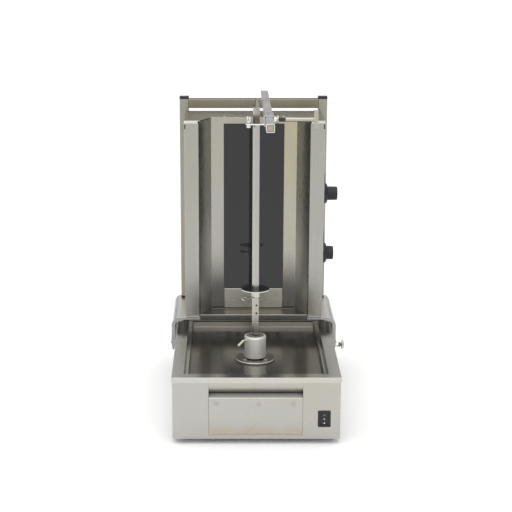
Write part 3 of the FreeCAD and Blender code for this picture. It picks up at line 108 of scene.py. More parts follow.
class Graph:
    """Builds one node material around a single Principled shader."""

    def __init__(self, name, colour, metallic=0.0, roughness=0.5, **fixed):
        self.material = bpy.data.materials.new(name)
        self.material.use_nodes = True
        self.nodes = self.material.node_tree.nodes
        self.links = self.material.node_tree.links
        self.shader = self.nodes["Principled BSDF"]
        self.colour = colour
        self.set("Base Color", (*colour, 1.0))
        self.set("Metallic", metallic)
        self.set("Roughness", roughness)
        for socket, value in fixed.items():
            self.set(socket.replace("_", " "), value)

    def set(self, socket, value):
        """Fixes the value of a shader input."""
        self.shader.inputs[socket].default_value = value

    def node(self, kind, **values):
        """Makes a node and sets its properties."""
        made = self.nodes.new(kind)
        for key, value in values.items():
            setattr(made, key, value)
        return made

    def join(self, source, target):
        """Links an output to an input."""
        self.links.new(source, target)

    def place(self, centre=(0.0, 0.0, 0.0), scale=(1.0, 1.0, 1.0)):
        """Object coordinates, measured from a centre and scaled per axis."""
        where = self.node("ShaderNodeTexCoord").outputs["Object"]
        mapping = self.node("ShaderNodeMapping", vector_type="POINT")
        mapping.inputs["Location"].default_value = [-c * s for c, s in zip(centre, scale)]
        mapping.inputs["Scale"].default_value = scale
        self.join(where, mapping.inputs["Vector"])
        return mapping.outputs["Vector"]

    def noise(self, vector, scale, detail, rough):
        """Cloudy noise, mostly between 0.3 and 0.7."""
        made = self.node("ShaderNodeTexNoise")
        made.inputs["Scale"].default_value = scale
        made.inputs["Detail"].default_value = detail
        made.inputs["Roughness"].default_value = rough
        self.join(vector, made.inputs["Vector"])
        return made.outputs["Fac"]

    def math(self, operation, first, second=0.0):
        """One sum on outputs or plain numbers."""
        made = self.node("ShaderNodeMath", operation=operation)
        for socket, value in zip(made.inputs, (first, second)):
            if isinstance(value, (int, float)):
                socket.default_value = value
            else:
                self.join(value, socket)
        return made.outputs[0]

    def spread(self, value, low, high, start=0.3, end=0.7):
        """Maps a value from start..end to low..high, and holds it at both ends."""
        made = self.node("ShaderNodeMapRange")
        made.inputs["From Min"].default_value = start
        made.inputs["From Max"].default_value = end
        made.inputs["To Min"].default_value = low
        made.inputs["To Max"].default_value = high
        self.join(value, made.inputs["Value"])
        return made.outputs["Result"]

    def blend(self, factor, first, second):
        """Mixes two colours, each a tuple or an output."""
        made = self.node("ShaderNodeMix", data_type="RGBA")
        factor_in, first_in, second_in = made.inputs[0], made.inputs[6], made.inputs[7]
        for socket, value in ((factor_in, factor), (first_in, first), (second_in, second)):
            if isinstance(value, tuple):
                socket.default_value = (*value, 1.0)
            elif isinstance(value, float):
                socket.default_value = value
            else:
                self.join(value, socket)
        return made.outputs[2]

    def distance(self, centre, scale):
        """Distance from a centre after scaling, so a zero scale drops that axis."""
        made = self.node("ShaderNodeVectorMath", operation="LENGTH")
        self.join(self.place(centre, scale), made.inputs[0])
        return made.outputs["Value"]

    def axis(self, index, centre=(0.0, 0.0, 0.0)):
        """One object coordinate."""
        made = self.node("ShaderNodeSeparateXYZ")
        self.join(self.place(centre), made.inputs[0])
        return made.outputs[index]

    def ramp(self, index, start, end, low=0.0, high=1.0):
        """Fades from low to high between two places along one axis."""
        return self.spread(self.axis(index), low, high, start=start, end=end)

    def patch(self, centre, half, soft=0.08):
        """1 inside a box and 0 outside."""
        made = self.node("ShaderNodeSeparateXYZ")
        self.join(self.place(centre, [1.0 / h for h in half]), made.inputs[0])
        sides = [self.math("ABSOLUTE", made.outputs[i]) for i in range(3)]
        reach = self.math("MAXIMUM", self.math("MAXIMUM", sides[0], sides[1]), sides[2])
        return self.spread(reach, 1.0, 0.0, start=1.0 - soft, end=1.0 + soft)

    def colour_so_far(self):
        """What is linked to the base colour, or its fixed value."""
        links = self.shader.inputs["Base Color"].links
        return links[0].from_socket if links else self.colour

    def stain(self, mask, colour, roughness=None, metallic=None):
        """Lays a colour over what the material has so far, where the mask is 1."""
        self.paint(self.blend(mask, self.colour_so_far(), colour))
        for socket, value in (("Roughness", roughness), ("Metallic", metallic)):
            if value is None:
                continue
            target = self.shader.inputs[socket]
            made = self.node("ShaderNodeMix", data_type="FLOAT")
            self.join(mask, made.inputs[0])
            if target.links:
                self.join(target.links[0].from_socket, made.inputs[2])
            else:
                made.inputs[2].default_value = target.default_value
            made.inputs[3].default_value = value
            self.join(made.outputs[0], target)
        return self

    def edges(self, radius=0.0007):
        """1 along outer and inner edges, broken up as if rubbed by hands and cloths; it places worn edges
        and painted edge highlights.
        """
        rounded = self.node("ShaderNodeBevel", samples=4)
        rounded.inputs["Radius"].default_value = radius
        facing = self.node("ShaderNodeVectorMath", operation="DOT_PRODUCT")
        self.join(rounded.outputs[0], facing.inputs[0])
        self.join(self.node("ShaderNodeNewGeometry").outputs["Normal"], facing.inputs[1])
        edge_breakup = self.noise(self.place(), scale=70.0, detail=3.0, rough=0.6)
        return self.math("MULTIPLY", self.spread(facing.outputs["Value"], 1.0, 0.0, start=0.80, end=0.985),
                         self.spread(edge_breakup, 0.35, 1.0, start=0.35, end=0.6))

    def edge_wear_and_highlight(self, colour, amount=1.0, roughness=0.2, radius=0.0007):
        """Gives the edges a lighter colour: partly worn edges, partly a painted highlight along them."""
        return self.stain(self.math("MULTIPLY", self.edges(radius), amount), colour, roughness=roughness)

    def bump(self, height, strength, distance):
        """Raises the surface's shading by a height."""
        made = self.node("ShaderNodeBump")
        made.inputs["Strength"].default_value = strength
        made.inputs["Distance"].default_value = distance
        self.join(height, made.inputs["Height"])
        self.join(made.outputs["Normal"], self.shader.inputs["Normal"])

    def paint(self, colour, roughness=None):
        """Links the base colour and, if given, the roughness."""
        self.join(colour, self.shader.inputs["Base Color"])
        if roughness is not None:
            self.join(roughness, self.shader.inputs["Roughness"])


def shade(colour, factor):
    """A colour made lighter or darker."""
    return tuple(min(1.0, channel * factor) for channel in colour)


def brushed(name, colour=STEEL, roughness=0.26, grain="across", depth=0.05, tint=0.05, streak=0.16):
    """Brushed sheet: fine grain in one direction, cloudy handling marks, slight warm patches."""
    g = Graph(name, colour, metallic=1.0, roughness=roughness)
    lines = g.noise(g.place(scale=GRAINS[grain]), scale=1.0, detail=2.0, rough=0.6)
    clouds = g.noise(g.place(), scale=7.0, detail=4.0, rough=0.55)
    warm = g.noise(g.place(centre=(0.3, 0.1, 0.2)), scale=4.0, detail=2.0, rough=0.5)
    level = g.math("ADD", g.spread(lines, -streak / 4, streak / 4),
                   g.spread(clouds, roughness - 0.04, roughness + 0.05))
    amber = (colour[0], colour[1] * (1 - tint * 0.6), colour[2] * (1 - tint * 2.4))
    base = g.blend(g.spread(warm, 0.0, 1.0, start=0.4, end=0.75), colour, amber)
    g.paint(g.blend(g.spread(lines, 0.0, streak), base, shade(colour, 0.72)), level)
    g.bump(lines, strength=depth, distance=FINE)
    return g.edge_wear_and_highlight(shade(colour, 1.45), amount=0.8, roughness=roughness * 0.7)


def polished(name, colour, roughness=0.06):
    """Polished sheet with long wiping scratches and dried water marks."""
    g = Graph(name, colour, metallic=1.0, roughness=roughness)
    wipes = g.noise(g.place(scale=(30.0, 900.0, 30.0)), scale=1.0, detail=3.0, rough=0.6)
    clouds = g.noise(g.place(), scale=11.0, detail=5.0, rough=0.6)
    level = g.math("ADD", g.spread(wipes, -0.02, 0.02),
                   g.spread(clouds, roughness, roughness + 0.07, start=0.4, end=0.75))
    g.paint(g.blend(g.spread(clouds, 0.0, 0.45), colour, shade(colour, 0.78)), level)
    g.bump(wipes, strength=0.02, distance=FINE)
    return g.edge_wear_and_highlight(shade(colour, 1.8), amount=0.7, roughness=0.12)


def turned(name, colour, centre, axis=Z, roughness=0.3):
    """Turned metal: fine rings around an axis."""
    g = Graph(name, colour, metallic=1.0, roughness=roughness)
    flat = [0.0 if index == axis else 1.0 for index in (X, Y, Z)]
    ring = g.node("ShaderNodeCombineXYZ")
    g.join(g.distance(centre, flat), ring.inputs[0])
    g.join(g.axis(axis, centre), ring.inputs[1])
    lines = g.noise(ring.outputs[0], scale=1800.0, detail=2.0, rough=0.6)
    clouds = g.noise(g.place(centre), scale=60.0, detail=4.0, rough=0.6)
    g.paint(g.blend(g.spread(clouds, 0.0, 0.30), colour, shade(colour, 0.7)),
            g.math("ADD", g.spread(lines, -0.05, 0.05),
                   g.spread(clouds, roughness - 0.04, roughness + 0.06)))
    g.bump(lines, strength=0.10, distance=FINE)
    return g.edge_wear_and_highlight(shade(colour, 1.5), amount=0.7, roughness=roughness * 0.6)


def plated(name, colour, roughness=0.16):
    """Plated small part: bright, slightly pitted."""
    g = Graph(name, colour, metallic=1.0, roughness=roughness)
    pits = g.noise(g.place(), scale=900.0, detail=3.0, rough=0.6)
    clouds = g.noise(g.place(), scale=140.0, detail=3.0, rough=0.6)
    g.paint(g.blend(g.spread(clouds, 0.0, 0.5), colour, shade(colour, 0.6)),
            g.spread(clouds, roughness, roughness + 0.15))
    g.bump(pits, strength=0.12, distance=FINE)
    return g.edge_wear_and_highlight(shade(colour, 1.3), amount=0.7, roughness=0.12, radius=0.0004)


def moulded(name, colour, roughness=0.45, grain=900.0, depth=0.25):
    """Moulded plastic with a fine spark-eroded texture."""
    g = Graph(name, colour, roughness=roughness, IOR=1.48)
    texture = g.noise(g.place(), scale=grain, detail=3.0, rough=0.6)
    clouds = g.noise(g.place(), scale=60.0, detail=3.0, rough=0.5)
    g.paint(g.blend(g.spread(clouds, 0.0, 0.5), colour, shade(colour, 1.6)),
            g.math("ADD", g.spread(texture, -0.06, 0.06),
                   g.spread(clouds, roughness - 0.06, roughness + 0.08)))
    g.bump(texture, strength=depth, distance=0.0002)
    return g.edge_wear_and_highlight(tuple(c * 1.5 + 0.02 for c in colour), amount=0.6, roughness=roughness * 0.7,
                  radius=0.0005)


def cast(name, colour, roughness=0.6, metallic=0.4):
    """Cast or painted rough metal."""
    g = Graph(name, colour, metallic=metallic, roughness=roughness)
    lumps = g.noise(g.place(), scale=260.0, detail=5.0, rough=0.65)
    g.paint(g.blend(g.spread(lumps, 0.0, 0.7), colour, shade(colour, 0.55)),
            g.spread(lumps, roughness - 0.1, roughness + 0.1))
    g.bump(lumps, strength=0.5, distance=0.0006)
    return g.edge_wear_and_highlight(tuple(c * 1.6 + 0.06 for c in colour), amount=0.8, roughness=0.35, radius=0.0010)


def fibre(name, colour):
    """Pressed ceramic fibre board."""
    g = Graph(name, colour, roughness=0.95)
    strands = g.noise(g.place(scale=(1.0, 1.0, 3.0)), scale=320.0, detail=6.0, rough=0.7)
    g.paint(g.blend(g.spread(strands, 0.0, 0.8), colour, shade(colour, 0.7)), g.spread(strands, 0.85, 1.0))
    g.bump(strands, strength=0.6, distance=0.0008)
    return g.edge_wear_and_highlight(shade(colour, 1.15), amount=0.7, roughness=0.9, radius=0.0012)


def ceramic_glass():
    """Dark ceramic glass with a fine print of dots and faint wiping marks.

    The normal it is shaded with leans up by GLASS_LEAN; the surface itself stands upright.
    """
    colour = (0.010, 0.010, 0.0105)
    g = Graph("ceramic_glass_look", colour, roughness=0.04, IOR=1.50)
    dots = g.node("ShaderNodeTexVoronoi")
    dots.inputs["Scale"].default_value = 520.0
    dots.inputs["Randomness"].default_value = 0.15
    g.join(g.place(), dots.inputs["Vector"])
    print_mask = g.spread(dots.outputs["Distance"], 0.5, 0.0, start=0.10, end=0.35)
    wipes = g.noise(g.place(scale=(1.0, 1.0, 0.35)), scale=24.0, detail=4.0, rough=0.6)
    g.paint(g.blend(print_mask, colour, (0.018, 0.0175, 0.017)), g.spread(wipes, 0.02, 0.05))
    tilted = g.node("ShaderNodeVectorMath", operation="ADD")
    g.join(g.node("ShaderNodeNewGeometry").outputs["Normal"], tilted.inputs[0])
    tilted.inputs[1].default_value = (0.0, 0.0, GLASS_LEAN)
    straight = g.node("ShaderNodeVectorMath", operation="NORMALIZE")
    g.join(tilted.outputs[0], straight.inputs[0])
    g.join(straight.outputs[0], g.shader.inputs["Normal"])
    return g


def oxidised(name):
    """Heating ribbon, oxidised grey and brown."""
    g = Graph(name, (0.16, 0.13, 0.11), metallic=0.8, roughness=0.6)
    scale = g.noise(g.place(), scale=180.0, detail=4.0, rough=0.6)
    g.paint(g.blend(g.spread(scale, 0.0, 1.0), (0.10, 0.085, 0.08), (0.26, 0.20, 0.16)),
            g.spread(scale, 0.5, 0.75))
    g.bump(scale, strength=0.3, distance=0.0004)
    return g.edge_wear_and_highlight((0.40, 0.36, 0.32), amount=0.6, roughness=0.4, radius=0.0004)


def give(graph, *names):
    """Puts a material on CAD nodes."""
    for name in names:
        mesh = NODES[name].data
        mesh.materials.clear()
        mesh.materials.append(graph.material)


def middle_of(node):
    """Middle of a CAD node's box."""
    low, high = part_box(node)
    return tuple((low + high) / 2)


def drawer_steel():
    """Brushed drawer front: matt lip, faint weld spots and a warm stain along its lower part."""
    g = brushed("steel_drawer", colour=(0.452, 0.444, 0.42), depth=0.012, streak=0.05)
    low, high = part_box("drawer_front")
    for share, height in ((0.08, 0.80), (0.53, 0.78), (0.90, 0.78)):
        spot = (low.x + share * (high.x - low.x), 0.0, low.z + height * (high.z - low.z))
        g.stain(g.spread(g.distance(spot, (1.0, 0.0, 1.0)), 0.55, 0.0, start=0.001, end=0.0075),
                (0.30, 0.285, 0.25))
    g.stain(g.ramp(Y, start=low.y + 0.0004, end=low.y + 0.0016), (0.42, 0.405, 0.37), roughness=0.5,
            metallic=0.25)
    drops = g.noise(g.place(scale=(1.0, 1.0, 1.6)), scale=26.0, detail=4.0, rough=0.6)
    fade = g.ramp(Z, start=low.z + 0.004, end=low.z + 0.030, low=1.0, high=0.0)
    g.stain(g.math("MULTIPLY", fade, g.spread(drops, 0.3, 1.0, start=0.35, end=0.65)), (0.43, 0.385, 0.295))
    return g


def rocker_plastic():
    """Glossy rocker with three plain printed marks."""
    g = moulded("rocker_plastic", (0.006, 0.006, 0.0065), roughness=0.28, grain=1200.0, depth=0.1)
    low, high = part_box("rocker_button")
    x, z = (low.x + high.x) / 2, (low.z + high.z) / 2
    bar_z, ring_z, dot_z = z + 0.0072, z - 0.0010, z - 0.0085
    g.stain(g.patch((x, 0.0, bar_z), (0.0018, 1.0, 0.00045), soft=0.2), (0.40, 0.40, 0.40), roughness=0.5)
    ring = g.distance((x, 0.0, ring_z), (1.25, 0.0, 1.0))
    hollow = g.math("MULTIPLY", g.spread(ring, 0.0, 1.0, start=0.0008, end=0.0011),
                    g.spread(ring, 1.0, 0.0, start=0.0016, end=0.0019))
    g.stain(hollow, (0.45, 0.45, 0.45), roughness=0.5)
    dot = g.distance((x, 0.0, dot_z), (1.0, 0.0, 1.0))
    g.stain(g.spread(dot, 1.0, 0.0, start=0.0010, end=0.0013), (0.75, 0.75, 0.75), roughness=0.4)
    return g


def spit_steel():
    """Ground bar with painted shade inside its cross holes and where it passes the clamp plate, and a
    browned foot.
    """
    g = brushed("spit_steel", colour=(0.425, 0.415, 0.38), roughness=0.26, grain="up", tint=0.08)
    turn = math.radians(SPIT_TURN)
    forward = Vector((-math.sin(turn), math.cos(turn), 0.0))
    sideways = Vector((math.cos(turn), math.sin(turn), 0.0))
    for height, ahead in CROSS_HOLES:
        direction = forward if ahead else sideways
        across = direction.cross(Vector((0.0, 0.0, 1.0)))
        flat = g.node("ShaderNodeVectorMath", operation="DOT_PRODUCT")
        g.join(g.place((SPIT[0], SPIT[1], height)), flat.inputs[0])
        flat.inputs[1].default_value = across
        rise = g.axis(Z, (0.0, 0.0, height))
        away = g.math("POWER", g.math("ADD", g.math("POWER", flat.outputs["Value"], 2.0),
                                      g.math("POWER", rise, 2.0)), 0.5)
        # Painted shade: the insides of the cross holes are painted near black.
        g.stain(g.spread(away, 1.0, 0.0, *HOLE_RIM), (0.006, 0.006, 0.006), roughness=0.9)
    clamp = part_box("clamp_plate")[1].z
    blotches = g.noise(g.place(scale=(1.0, 1.0, 0.4)), scale=90.0, detail=4.0, rough=0.6)
    # Painted shade on the spit where it passes the clamp plate, broken up by blotches.
    clamp_shade = g.math("MULTIPLY", g.ramp(Z, start=clamp - 0.003, end=clamp),
                    g.ramp(Z, start=clamp + 0.012, end=clamp + 0.018, low=1.0, high=0.0))
    g.stain(g.math("MULTIPLY", clamp_shade, g.spread(blotches, 0.7, 1.0)), (0.12, 0.105, 0.075), roughness=0.45)
    foot = g.math("MULTIPLY", g.ramp(Z, *SPIT_FOOT_Z, low=0.8, high=0.0), g.spread(blotches, 0.4, 1.0))
    g.stain(foot, (0.24, 0.215, 0.17))
    return g


def grip_steel():
    """Rolled edge over the drawer, with painted shade towards its underside."""
    g = brushed("steel_grip", colour=(0.455, 0.444, 0.415), roughness=0.30, depth=0.012, streak=0.05)
    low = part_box("grip_roll")[0].z
    # Painted shade: darker towards the underside of the roll.
    g.stain(g.ramp(Z, start=low + 0.0015, end=low + 0.0135, low=0.85, high=0.0), (0.23, 0.215, 0.18),
            roughness=0.42)
    return g


def socket_metal():
    """Blasted aluminium with bright speckles, a bright rim, a browned top and painted shade in its bore."""
    g = turned("socket_aluminium", (0.84, 0.835, 0.80), SPIT, roughness=0.48)
    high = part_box("spit_socket")[1].z
    speck = g.noise(g.place(), scale=520.0, detail=4.0, rough=0.7)
    g.stain(g.spread(speck, 0.0, 0.5, start=0.5, end=0.75), (0.97, 0.97, 0.96))
    around = g.distance(SPIT, (1.0, 1.0, 0.0))
    top = g.ramp(Z, start=high - 0.0012, end=high - 0.0008)
    g.stain(g.math("MULTIPLY", top, g.spread(around, 0.9, 0.0, *SOCKET_RIM)), (0.36, 0.33, 0.29))
    # Painted shade: the bore around the spit is painted near black.
    g.stain(g.math("MULTIPLY", top, g.spread(around, 1.0, 0.0, *SOCKET_BORE)), (0.05, 0.045, 0.04),
            roughness=0.7)
    return g


def flange_steel():
    """Turned plate with a painted highlight along its top edge."""
    g = turned("steel_flange", (0.22, 0.195, 0.18), SPIT, roughness=0.36)
    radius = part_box("bearing_flange")[1].x - SPIT[0]
    edge = g.spread(g.distance(SPIT, (1.0, 1.0, 0.0)), 0.0, 1.0, start=radius - 0.0016, end=radius - 0.0009)
    top = g.ramp(Z, *FLANGE_TOP_Z)
    # Painted highlight along the top edge.
    return g.stain(g.math("MULTIPLY", edge, top), (0.46, 0.43, 0.39), roughness=0.3)


def disc_steel():
    """Dark turned plate with a painted highlight along its rim, and a bright ground hub."""
    g = turned("disc_steel", (0.17, 0.165, 0.155), SPIT, roughness=0.24)
    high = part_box("meat_disc")[1]
    radius = high.x - SPIT[0]
    edge = g.spread(g.distance(SPIT, (1.0, 1.0, 0.0)), 0.0, 1.0, start=radius - 0.0010, end=radius - 0.0005)
    # Painted highlight along the rim.
    g.stain(edge, (0.72, 0.71, 0.67), roughness=0.25)
    under = g.ramp(Z, start=high.z - 0.0034, end=high.z - 0.0030, low=1.0, high=0.0)
    return g.stain(g.math("MULTIPLY", under, g.spread(edge, 1.0, 0.0)), (0.56, 0.545, 0.49), roughness=0.32)


def collar_steel():
    """Bright brushed collar with a line of painted shade where its front end meets the arm."""
    g = brushed("collar_steel", grain="deep", colour=(0.80, 0.795, 0.78), roughness=0.28)
    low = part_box("arm_collar")[0]
    arm_low, arm_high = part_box("arm_tube")
    middle = ((arm_low.x + arm_high.x) / 2, low.y, (arm_low.z + arm_high.z) / 2)
    gap, depth = 0.0011, 0.0015
    half = (arm_high.x - arm_low.x) / 2 + gap
    # Painted shade in the gap between the collar and the arm.
    return g.stain(g.patch(middle, (half, depth, half), soft=0.04), (0.05, 0.045, 0.035), roughness=0.6)


def bar_steel():
    """Glass frame: bars that darken towards their lower ends, with a heat tint on the right one."""
    g = brushed("frame_steel", shade(TOWER_STEEL, 1.05), grain="up", roughness=0.24, tint=0.12)
    heat = g.noise(g.place(scale=(1.0, 1.0, 0.35)), scale=34.0, detail=4.0, rough=0.6)
    right = g.math("MULTIPLY", g.ramp(X, *BAR_RIGHT_X), g.ramp(Z, *BAR_HEAT_Z, low=0.35))
    g.stain(g.math("MULTIPLY", right, g.spread(heat, 0.1, 0.9, start=0.38, end=0.62)), (0.43, 0.385, 0.265))
    return g.stain(g.ramp(Z, *BAR_FOOT_Z, low=0.85, high=0.0), (0.185, 0.185, 0.183))


def deck_steel():
    """Deck: bright sides, and painted shade on the strip behind the well, under the tower."""
    g = brushed("steel_deck", colour=(0.53, 0.52, 0.49), roughness=0.22, depth=0.02, streak=0.08)
    # Painted shade on the strip behind the well, under the heater.
    return g.stain(g.ramp(Y, *DECK_SHADE_Y, high=0.9), (0.24, 0.222, 0.195), roughness=0.34)


def pan_steel():
    """Dull polished pan, browned by heat, with a painted reflection that lightens its rear wall."""
    g = polished("steel_pan", (0.235, 0.215, 0.19), roughness=0.20)
    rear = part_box("drip_pan")[1].y
    # Painted reflection: the rear wall is made lighter.
    return g.stain(g.ramp(Y, start=rear - 0.010, end=rear - 0.004, low=0.0, high=0.8), (0.44, 0.42, 0.39),
                   roughness=0.16)


def wing_steel(label):
    """Front wing: brushed face; its splayed side has painted shade, with painted light towards its foot."""
    g = brushed(label + "_steel", TOWER_STEEL, grain="up", roughness=0.24)
    splay = g.ramp(Y, *WING_SPLAY_Y)
    foot = g.ramp(Z, *WING_FOOT_Z, low=1.0, high=0.0)
    # Painted shade on the splayed side, then painted light towards its foot.
    g.stain(splay, (0.31, 0.308, 0.285))
    return g.stain(g.math("MULTIPLY", splay, foot), (0.64, 0.63, 0.59), roughness=0.38)


def saddle_metal():
    """Pale extruded aluminium with a sawn, rougher front end."""
    g = brushed("saddle_aluminium", colour=(0.80, 0.80, 0.79), roughness=0.36, grain="deep", tint=0.0)
    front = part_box("left_saddle")[0].y
    saw = g.noise(g.place(scale=(1.0, 1.0, 2.5)), scale=700.0, detail=3.0, rough=0.7)
    end = g.ramp(Y, start=front + 0.0003, end=front + 0.0008, low=1.0, high=0.0)
    g.stain(end, (0.52, 0.515, 0.50), roughness=0.55)
    return g.stain(g.math("MULTIPLY", end, g.spread(saw, 0.0, 0.7, start=0.45, end=0.6)),
                   (0.16, 0.155, 0.145), roughness=0.7)


def recess_steel():
    """Floor of the recess: browned, with a painted highlight along its front edge."""
    g = brushed("recess_steel", (0.17, 0.155, 0.135), roughness=0.34)
    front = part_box("recess_floor")[0].y
    # Painted highlight along the front edge.
    return g.stain(g.ramp(Y, start=front + 0.0006, end=front + 0.0016, low=1.0, high=0.0),
                   (0.62, 0.60, 0.54), roughness=0.3)


def thumbscrew_plate():
    """Nickel head on a darker threaded stem."""
    g = plated("thumbscrew_plate", (0.56, 0.55, 0.48))
    low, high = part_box("saddle_thumbscrew")
    head = high.x - THUMB_HEAD
    middle = ((low.x + head) / 2, (low.y + high.y) / 2, (low.z + high.z) / 2)
    turns = g.node("ShaderNodeTexWave", wave_type="BANDS", bands_direction="X")
    turns.inputs["Scale"].default_value = 260.0
    g.join(g.place(), turns.inputs["Vector"])
    stem = g.patch(middle, ((head - low.x) / 2, THUMB_STEM, THUMB_STEM), soft=0.03)
    return g.stain(g.math("MULTIPLY", stem, g.spread(turns.outputs["Fac"], 0.6, 1.0, start=0.2, end=0.8)),
                   (0.10, 0.094, 0.072), roughness=0.4)


def knob_plastic():
    """Satin black knob with pale scuffs."""
    g = moulded("knob_plastic", (0.007, 0.007, 0.0072), roughness=0.42)
    scuff = g.noise(g.place(), scale=320.0, detail=4.0, rough=0.7)
    return g.stain(g.spread(scuff, 0.0, 0.35, start=0.55, end=0.8), (0.035, 0.034, 0.033), roughness=0.55)


def dress_base():
    """Materials of the base and of what is in it."""
    give(brushed("steel_housing", colour=(0.452, 0.441, 0.412), depth=0.012, streak=0.05), "base_housing")
    give(deck_steel(), "deck")
    give(pan_steel(), "drip_pan")
    give(grip_steel(), "grip_roll")
    give(drawer_steel(), "drawer_front")
    give(brushed("steel_tray", grain="deep", roughness=0.35), "drawer_tray")
    give(brushed("zinc_sheet", colour=(0.50, 0.51, 0.52), roughness=0.42, grain="deep"),
         "base_floor_plate", "drawer_runners", "motor_bracket")
    give(moulded("foot_rubber", (0.012, 0.012, 0.012), roughness=0.75, grain=500.0, depth=0.4),
         "rubber_feet")
    give(plated("zinc_screw", (0.66, 0.65, 0.62), roughness=0.22),
         "foot_screws", "casing_screws", "flange_screws")
    give(flange_steel(), "bearing_flange")
    give(cast("cast_housing", (0.12, 0.12, 0.125)), "bearing_housing")
    give(turned("bronze", (0.62, 0.42, 0.18), SPIT), "spindle_bush")
    give(cast("motor_paint", (0.06, 0.062, 0.066), roughness=0.5, metallic=0.2), "gear_motor")
    give(turned("capacitor_can", (0.7, 0.7, 0.7), middle_of("run_capacitor"), axis=Y), "run_capacitor")
    give(moulded("terminal_plastic", (0.72, 0.70, 0.64), roughness=0.4), "terminal_block")
    give(moulded("black_plastic", (0.010, 0.010, 0.0105)),
         "base_cable_gland", "tower_cable_gland", "post_caps", "switch_housing")
    give(rocker_plastic(), "rocker_button")


def dress_drive():
    """Materials of what turns: gears, shaft, socket, spit and disc."""
    give(turned("gear_steel", (0.42, 0.41, 0.40), SPIT, roughness=0.32), "drive_gear")
    give(turned("pinion_steel", (0.46, 0.45, 0.44), MOTOR, roughness=0.3), "motor_pinion")
    give(turned("shaft_steel", (0.55, 0.54, 0.53), SPIT, roughness=0.2), "spindle_shaft")
    give(socket_metal(), "spit_socket")
    give(plated("lever_plate", (0.50, 0.48, 0.39)), "socket_lever_screw")
    give(spit_steel(), "spit")
    give(disc_steel(), "meat_disc")
    give(plated("pin_steel", (0.60, 0.585, 0.56)), "disc_pin")


def dress_tower():
    """Materials of the tower, its saddles and the arm."""
    give(saddle_metal(), "left_saddle", "right_saddle")
    give(moulded("glide_plastic", (0.03, 0.03, 0.03)), "glide_blocks")
    give(brushed("post_steel", grain="up", colour=(0.33, 0.32, 0.285), tint=0.12),
         "left_post", "right_post")
    give(brushed("rail_steel", colour=(0.265, 0.243, 0.195), tint=0.15), "top_rail")
    give(brushed("tower_steel", TOWER_STEEL, grain="up"), "heater_housing", "rear_cover")
    give(wing_steel("left_wing"), "left_wing")
    give(wing_steel("right_wing"), "right_wing")
    give(bar_steel(), "glass_frame")
    give(ceramic_glass(), "ceramic_glass")
    give(brushed("lower_steel", shade(TOWER_STEEL, 1.5), grain="across", roughness=0.30), "lower_plate")
    give(recess_steel(), "recess_floor")
    give(oxidised("ribbon_scale"), "lower_element", "upper_element")
    give(fibre("ceramic_fibre", (0.78, 0.75, 0.68)), "element_trays")
    give(fibre("fibre_board", (0.66, 0.62, 0.54)), "insulation_board")
    give(moulded("regulator_plastic", (0.62, 0.58, 0.50), roughness=0.5), "heat_regulators")
    give(brushed("arm_steel", grain="deep", colour=(0.76, 0.76, 0.77), roughness=0.30, tint=0.0),
         "arm_tube")
    give(collar_steel(), "arm_collar")
    give(brushed("clamp_steel", grain="deep", colour=(0.80, 0.795, 0.77), roughness=0.25), "clamp_plate")
    give(plated("wing_plate", (0.74, 0.73, 0.71)), "clamp_wing_screw")
    give(brushed("handle_steel", grain="up", colour=(0.42, 0.41, 0.365), roughness=0.24),
         "collar_lock_handle")
    give(thumbscrew_plate(), "saddle_thumbscrew")
    give(knob_plastic(), "upper_knob", "lower_knob")


# ---------------------------------------------------------------- added pieces


def link(obj):
    """Puts an object into the scene."""
    bpy.context.scene.collection.objects.link(obj)
    return obj


def piece(name, bm, graph, body):
    """A mesh piece that rides on a body."""
    bmesh.ops.recalc_face_normals(bm, faces=bm.faces)
    mesh = bpy.data.meshes.new(name)
    bm.to_mesh(mesh)
    bm.free()
    mesh.materials.append(graph.material)
    obj = link(bpy.data.objects.new(name, mesh))
    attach(obj, body)


def skin(bm, loops):
    """Faces between neighbouring loops of vertices, and over both ends."""
    for first, second in zip(loops, loops[1:]):
        for k, vert in enumerate(first):
            after = (k + 1) % len(first)
            bm.faces.new((vert, first[after], second[after], second[k]))
    bm.faces.new(loops[0])
    bm.faces.new(loops[-1])


def add_arm_plug():
    """Moulded plug that closes the front end of the arm, with a crowned face."""
    low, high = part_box("arm_tube")
    wall, sunk, corner = 0.00215, 0.0003, 0.0012
    half = (high.x - low.x) / 2 - wall
    x, z = (low.x + high.x) / 2, (low.z + high.z) / 2
    signs = ((1, 1), (-1, 1), (-1, -1), (1, -1))
    steps = 4
    # Each ring: how far back it lies and how far it is drawn in.
    rings = ((0.0, 0.0012), (0.0004, 0.0004), (0.0012, 0.0), (0.014, 0.0))
    bm = bmesh.new()
    loops = []
    for back, inset in rings:
        reach = half - inset - corner
        loop = []
        for turn, sign in enumerate(signs):
            for step in range(steps + 1):
                angle = math.radians(90 * turn + 90 / steps * step)
                loop.append(bm.verts.new((x + sign[0] * reach + corner * math.cos(angle),
                                          low.y + sunk + back,
                                          z + sign[1] * reach + corner * math.sin(angle))))
        loops.append(loop)
    skin(bm, loops)
    piece("arm_plug", bm, moulded("plug_plastic", (0.31, 0.275, 0.19), roughness=0.5), "tower")


def add_lock_sleeve():
    """Threaded sleeve on the lock screw, next to the collar."""
    low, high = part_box("collar_lock_handle")
    start, end = 0.0410, 0.0570
    radius, pitch, thread, taper = 0.0046, 0.00125, 0.0006, 0.0007
    y, z = (low.y + high.y) / 2, (low.z + high.z) / 2
    around, steps = 40, 112
    bm = bmesh.new()
    loops = []
    for i in range(steps + 1):
        x = start + (end - start) * i / steps
        ends = min(1.0, (x - start) / pitch, (end - x) / pitch)
        loop = []
        for k in range(around):
            angle = 2 * math.pi * k / around
            wave = abs(((x - start) / pitch - angle / (2 * math.pi)) % 1.0 - 0.5) * 2.0
            r = radius - thread * wave - taper * (1.0 - ends)
            loop.append(bm.verts.new((x, y + r * math.cos(angle), z + r * math.sin(angle))))
        loops.append(loop)
    skin(bm, loops)
    piece("lock_sleeve", bm, plated("sleeve_plate", (0.16, 0.15, 0.115), roughness=0.3), "lock_handle")


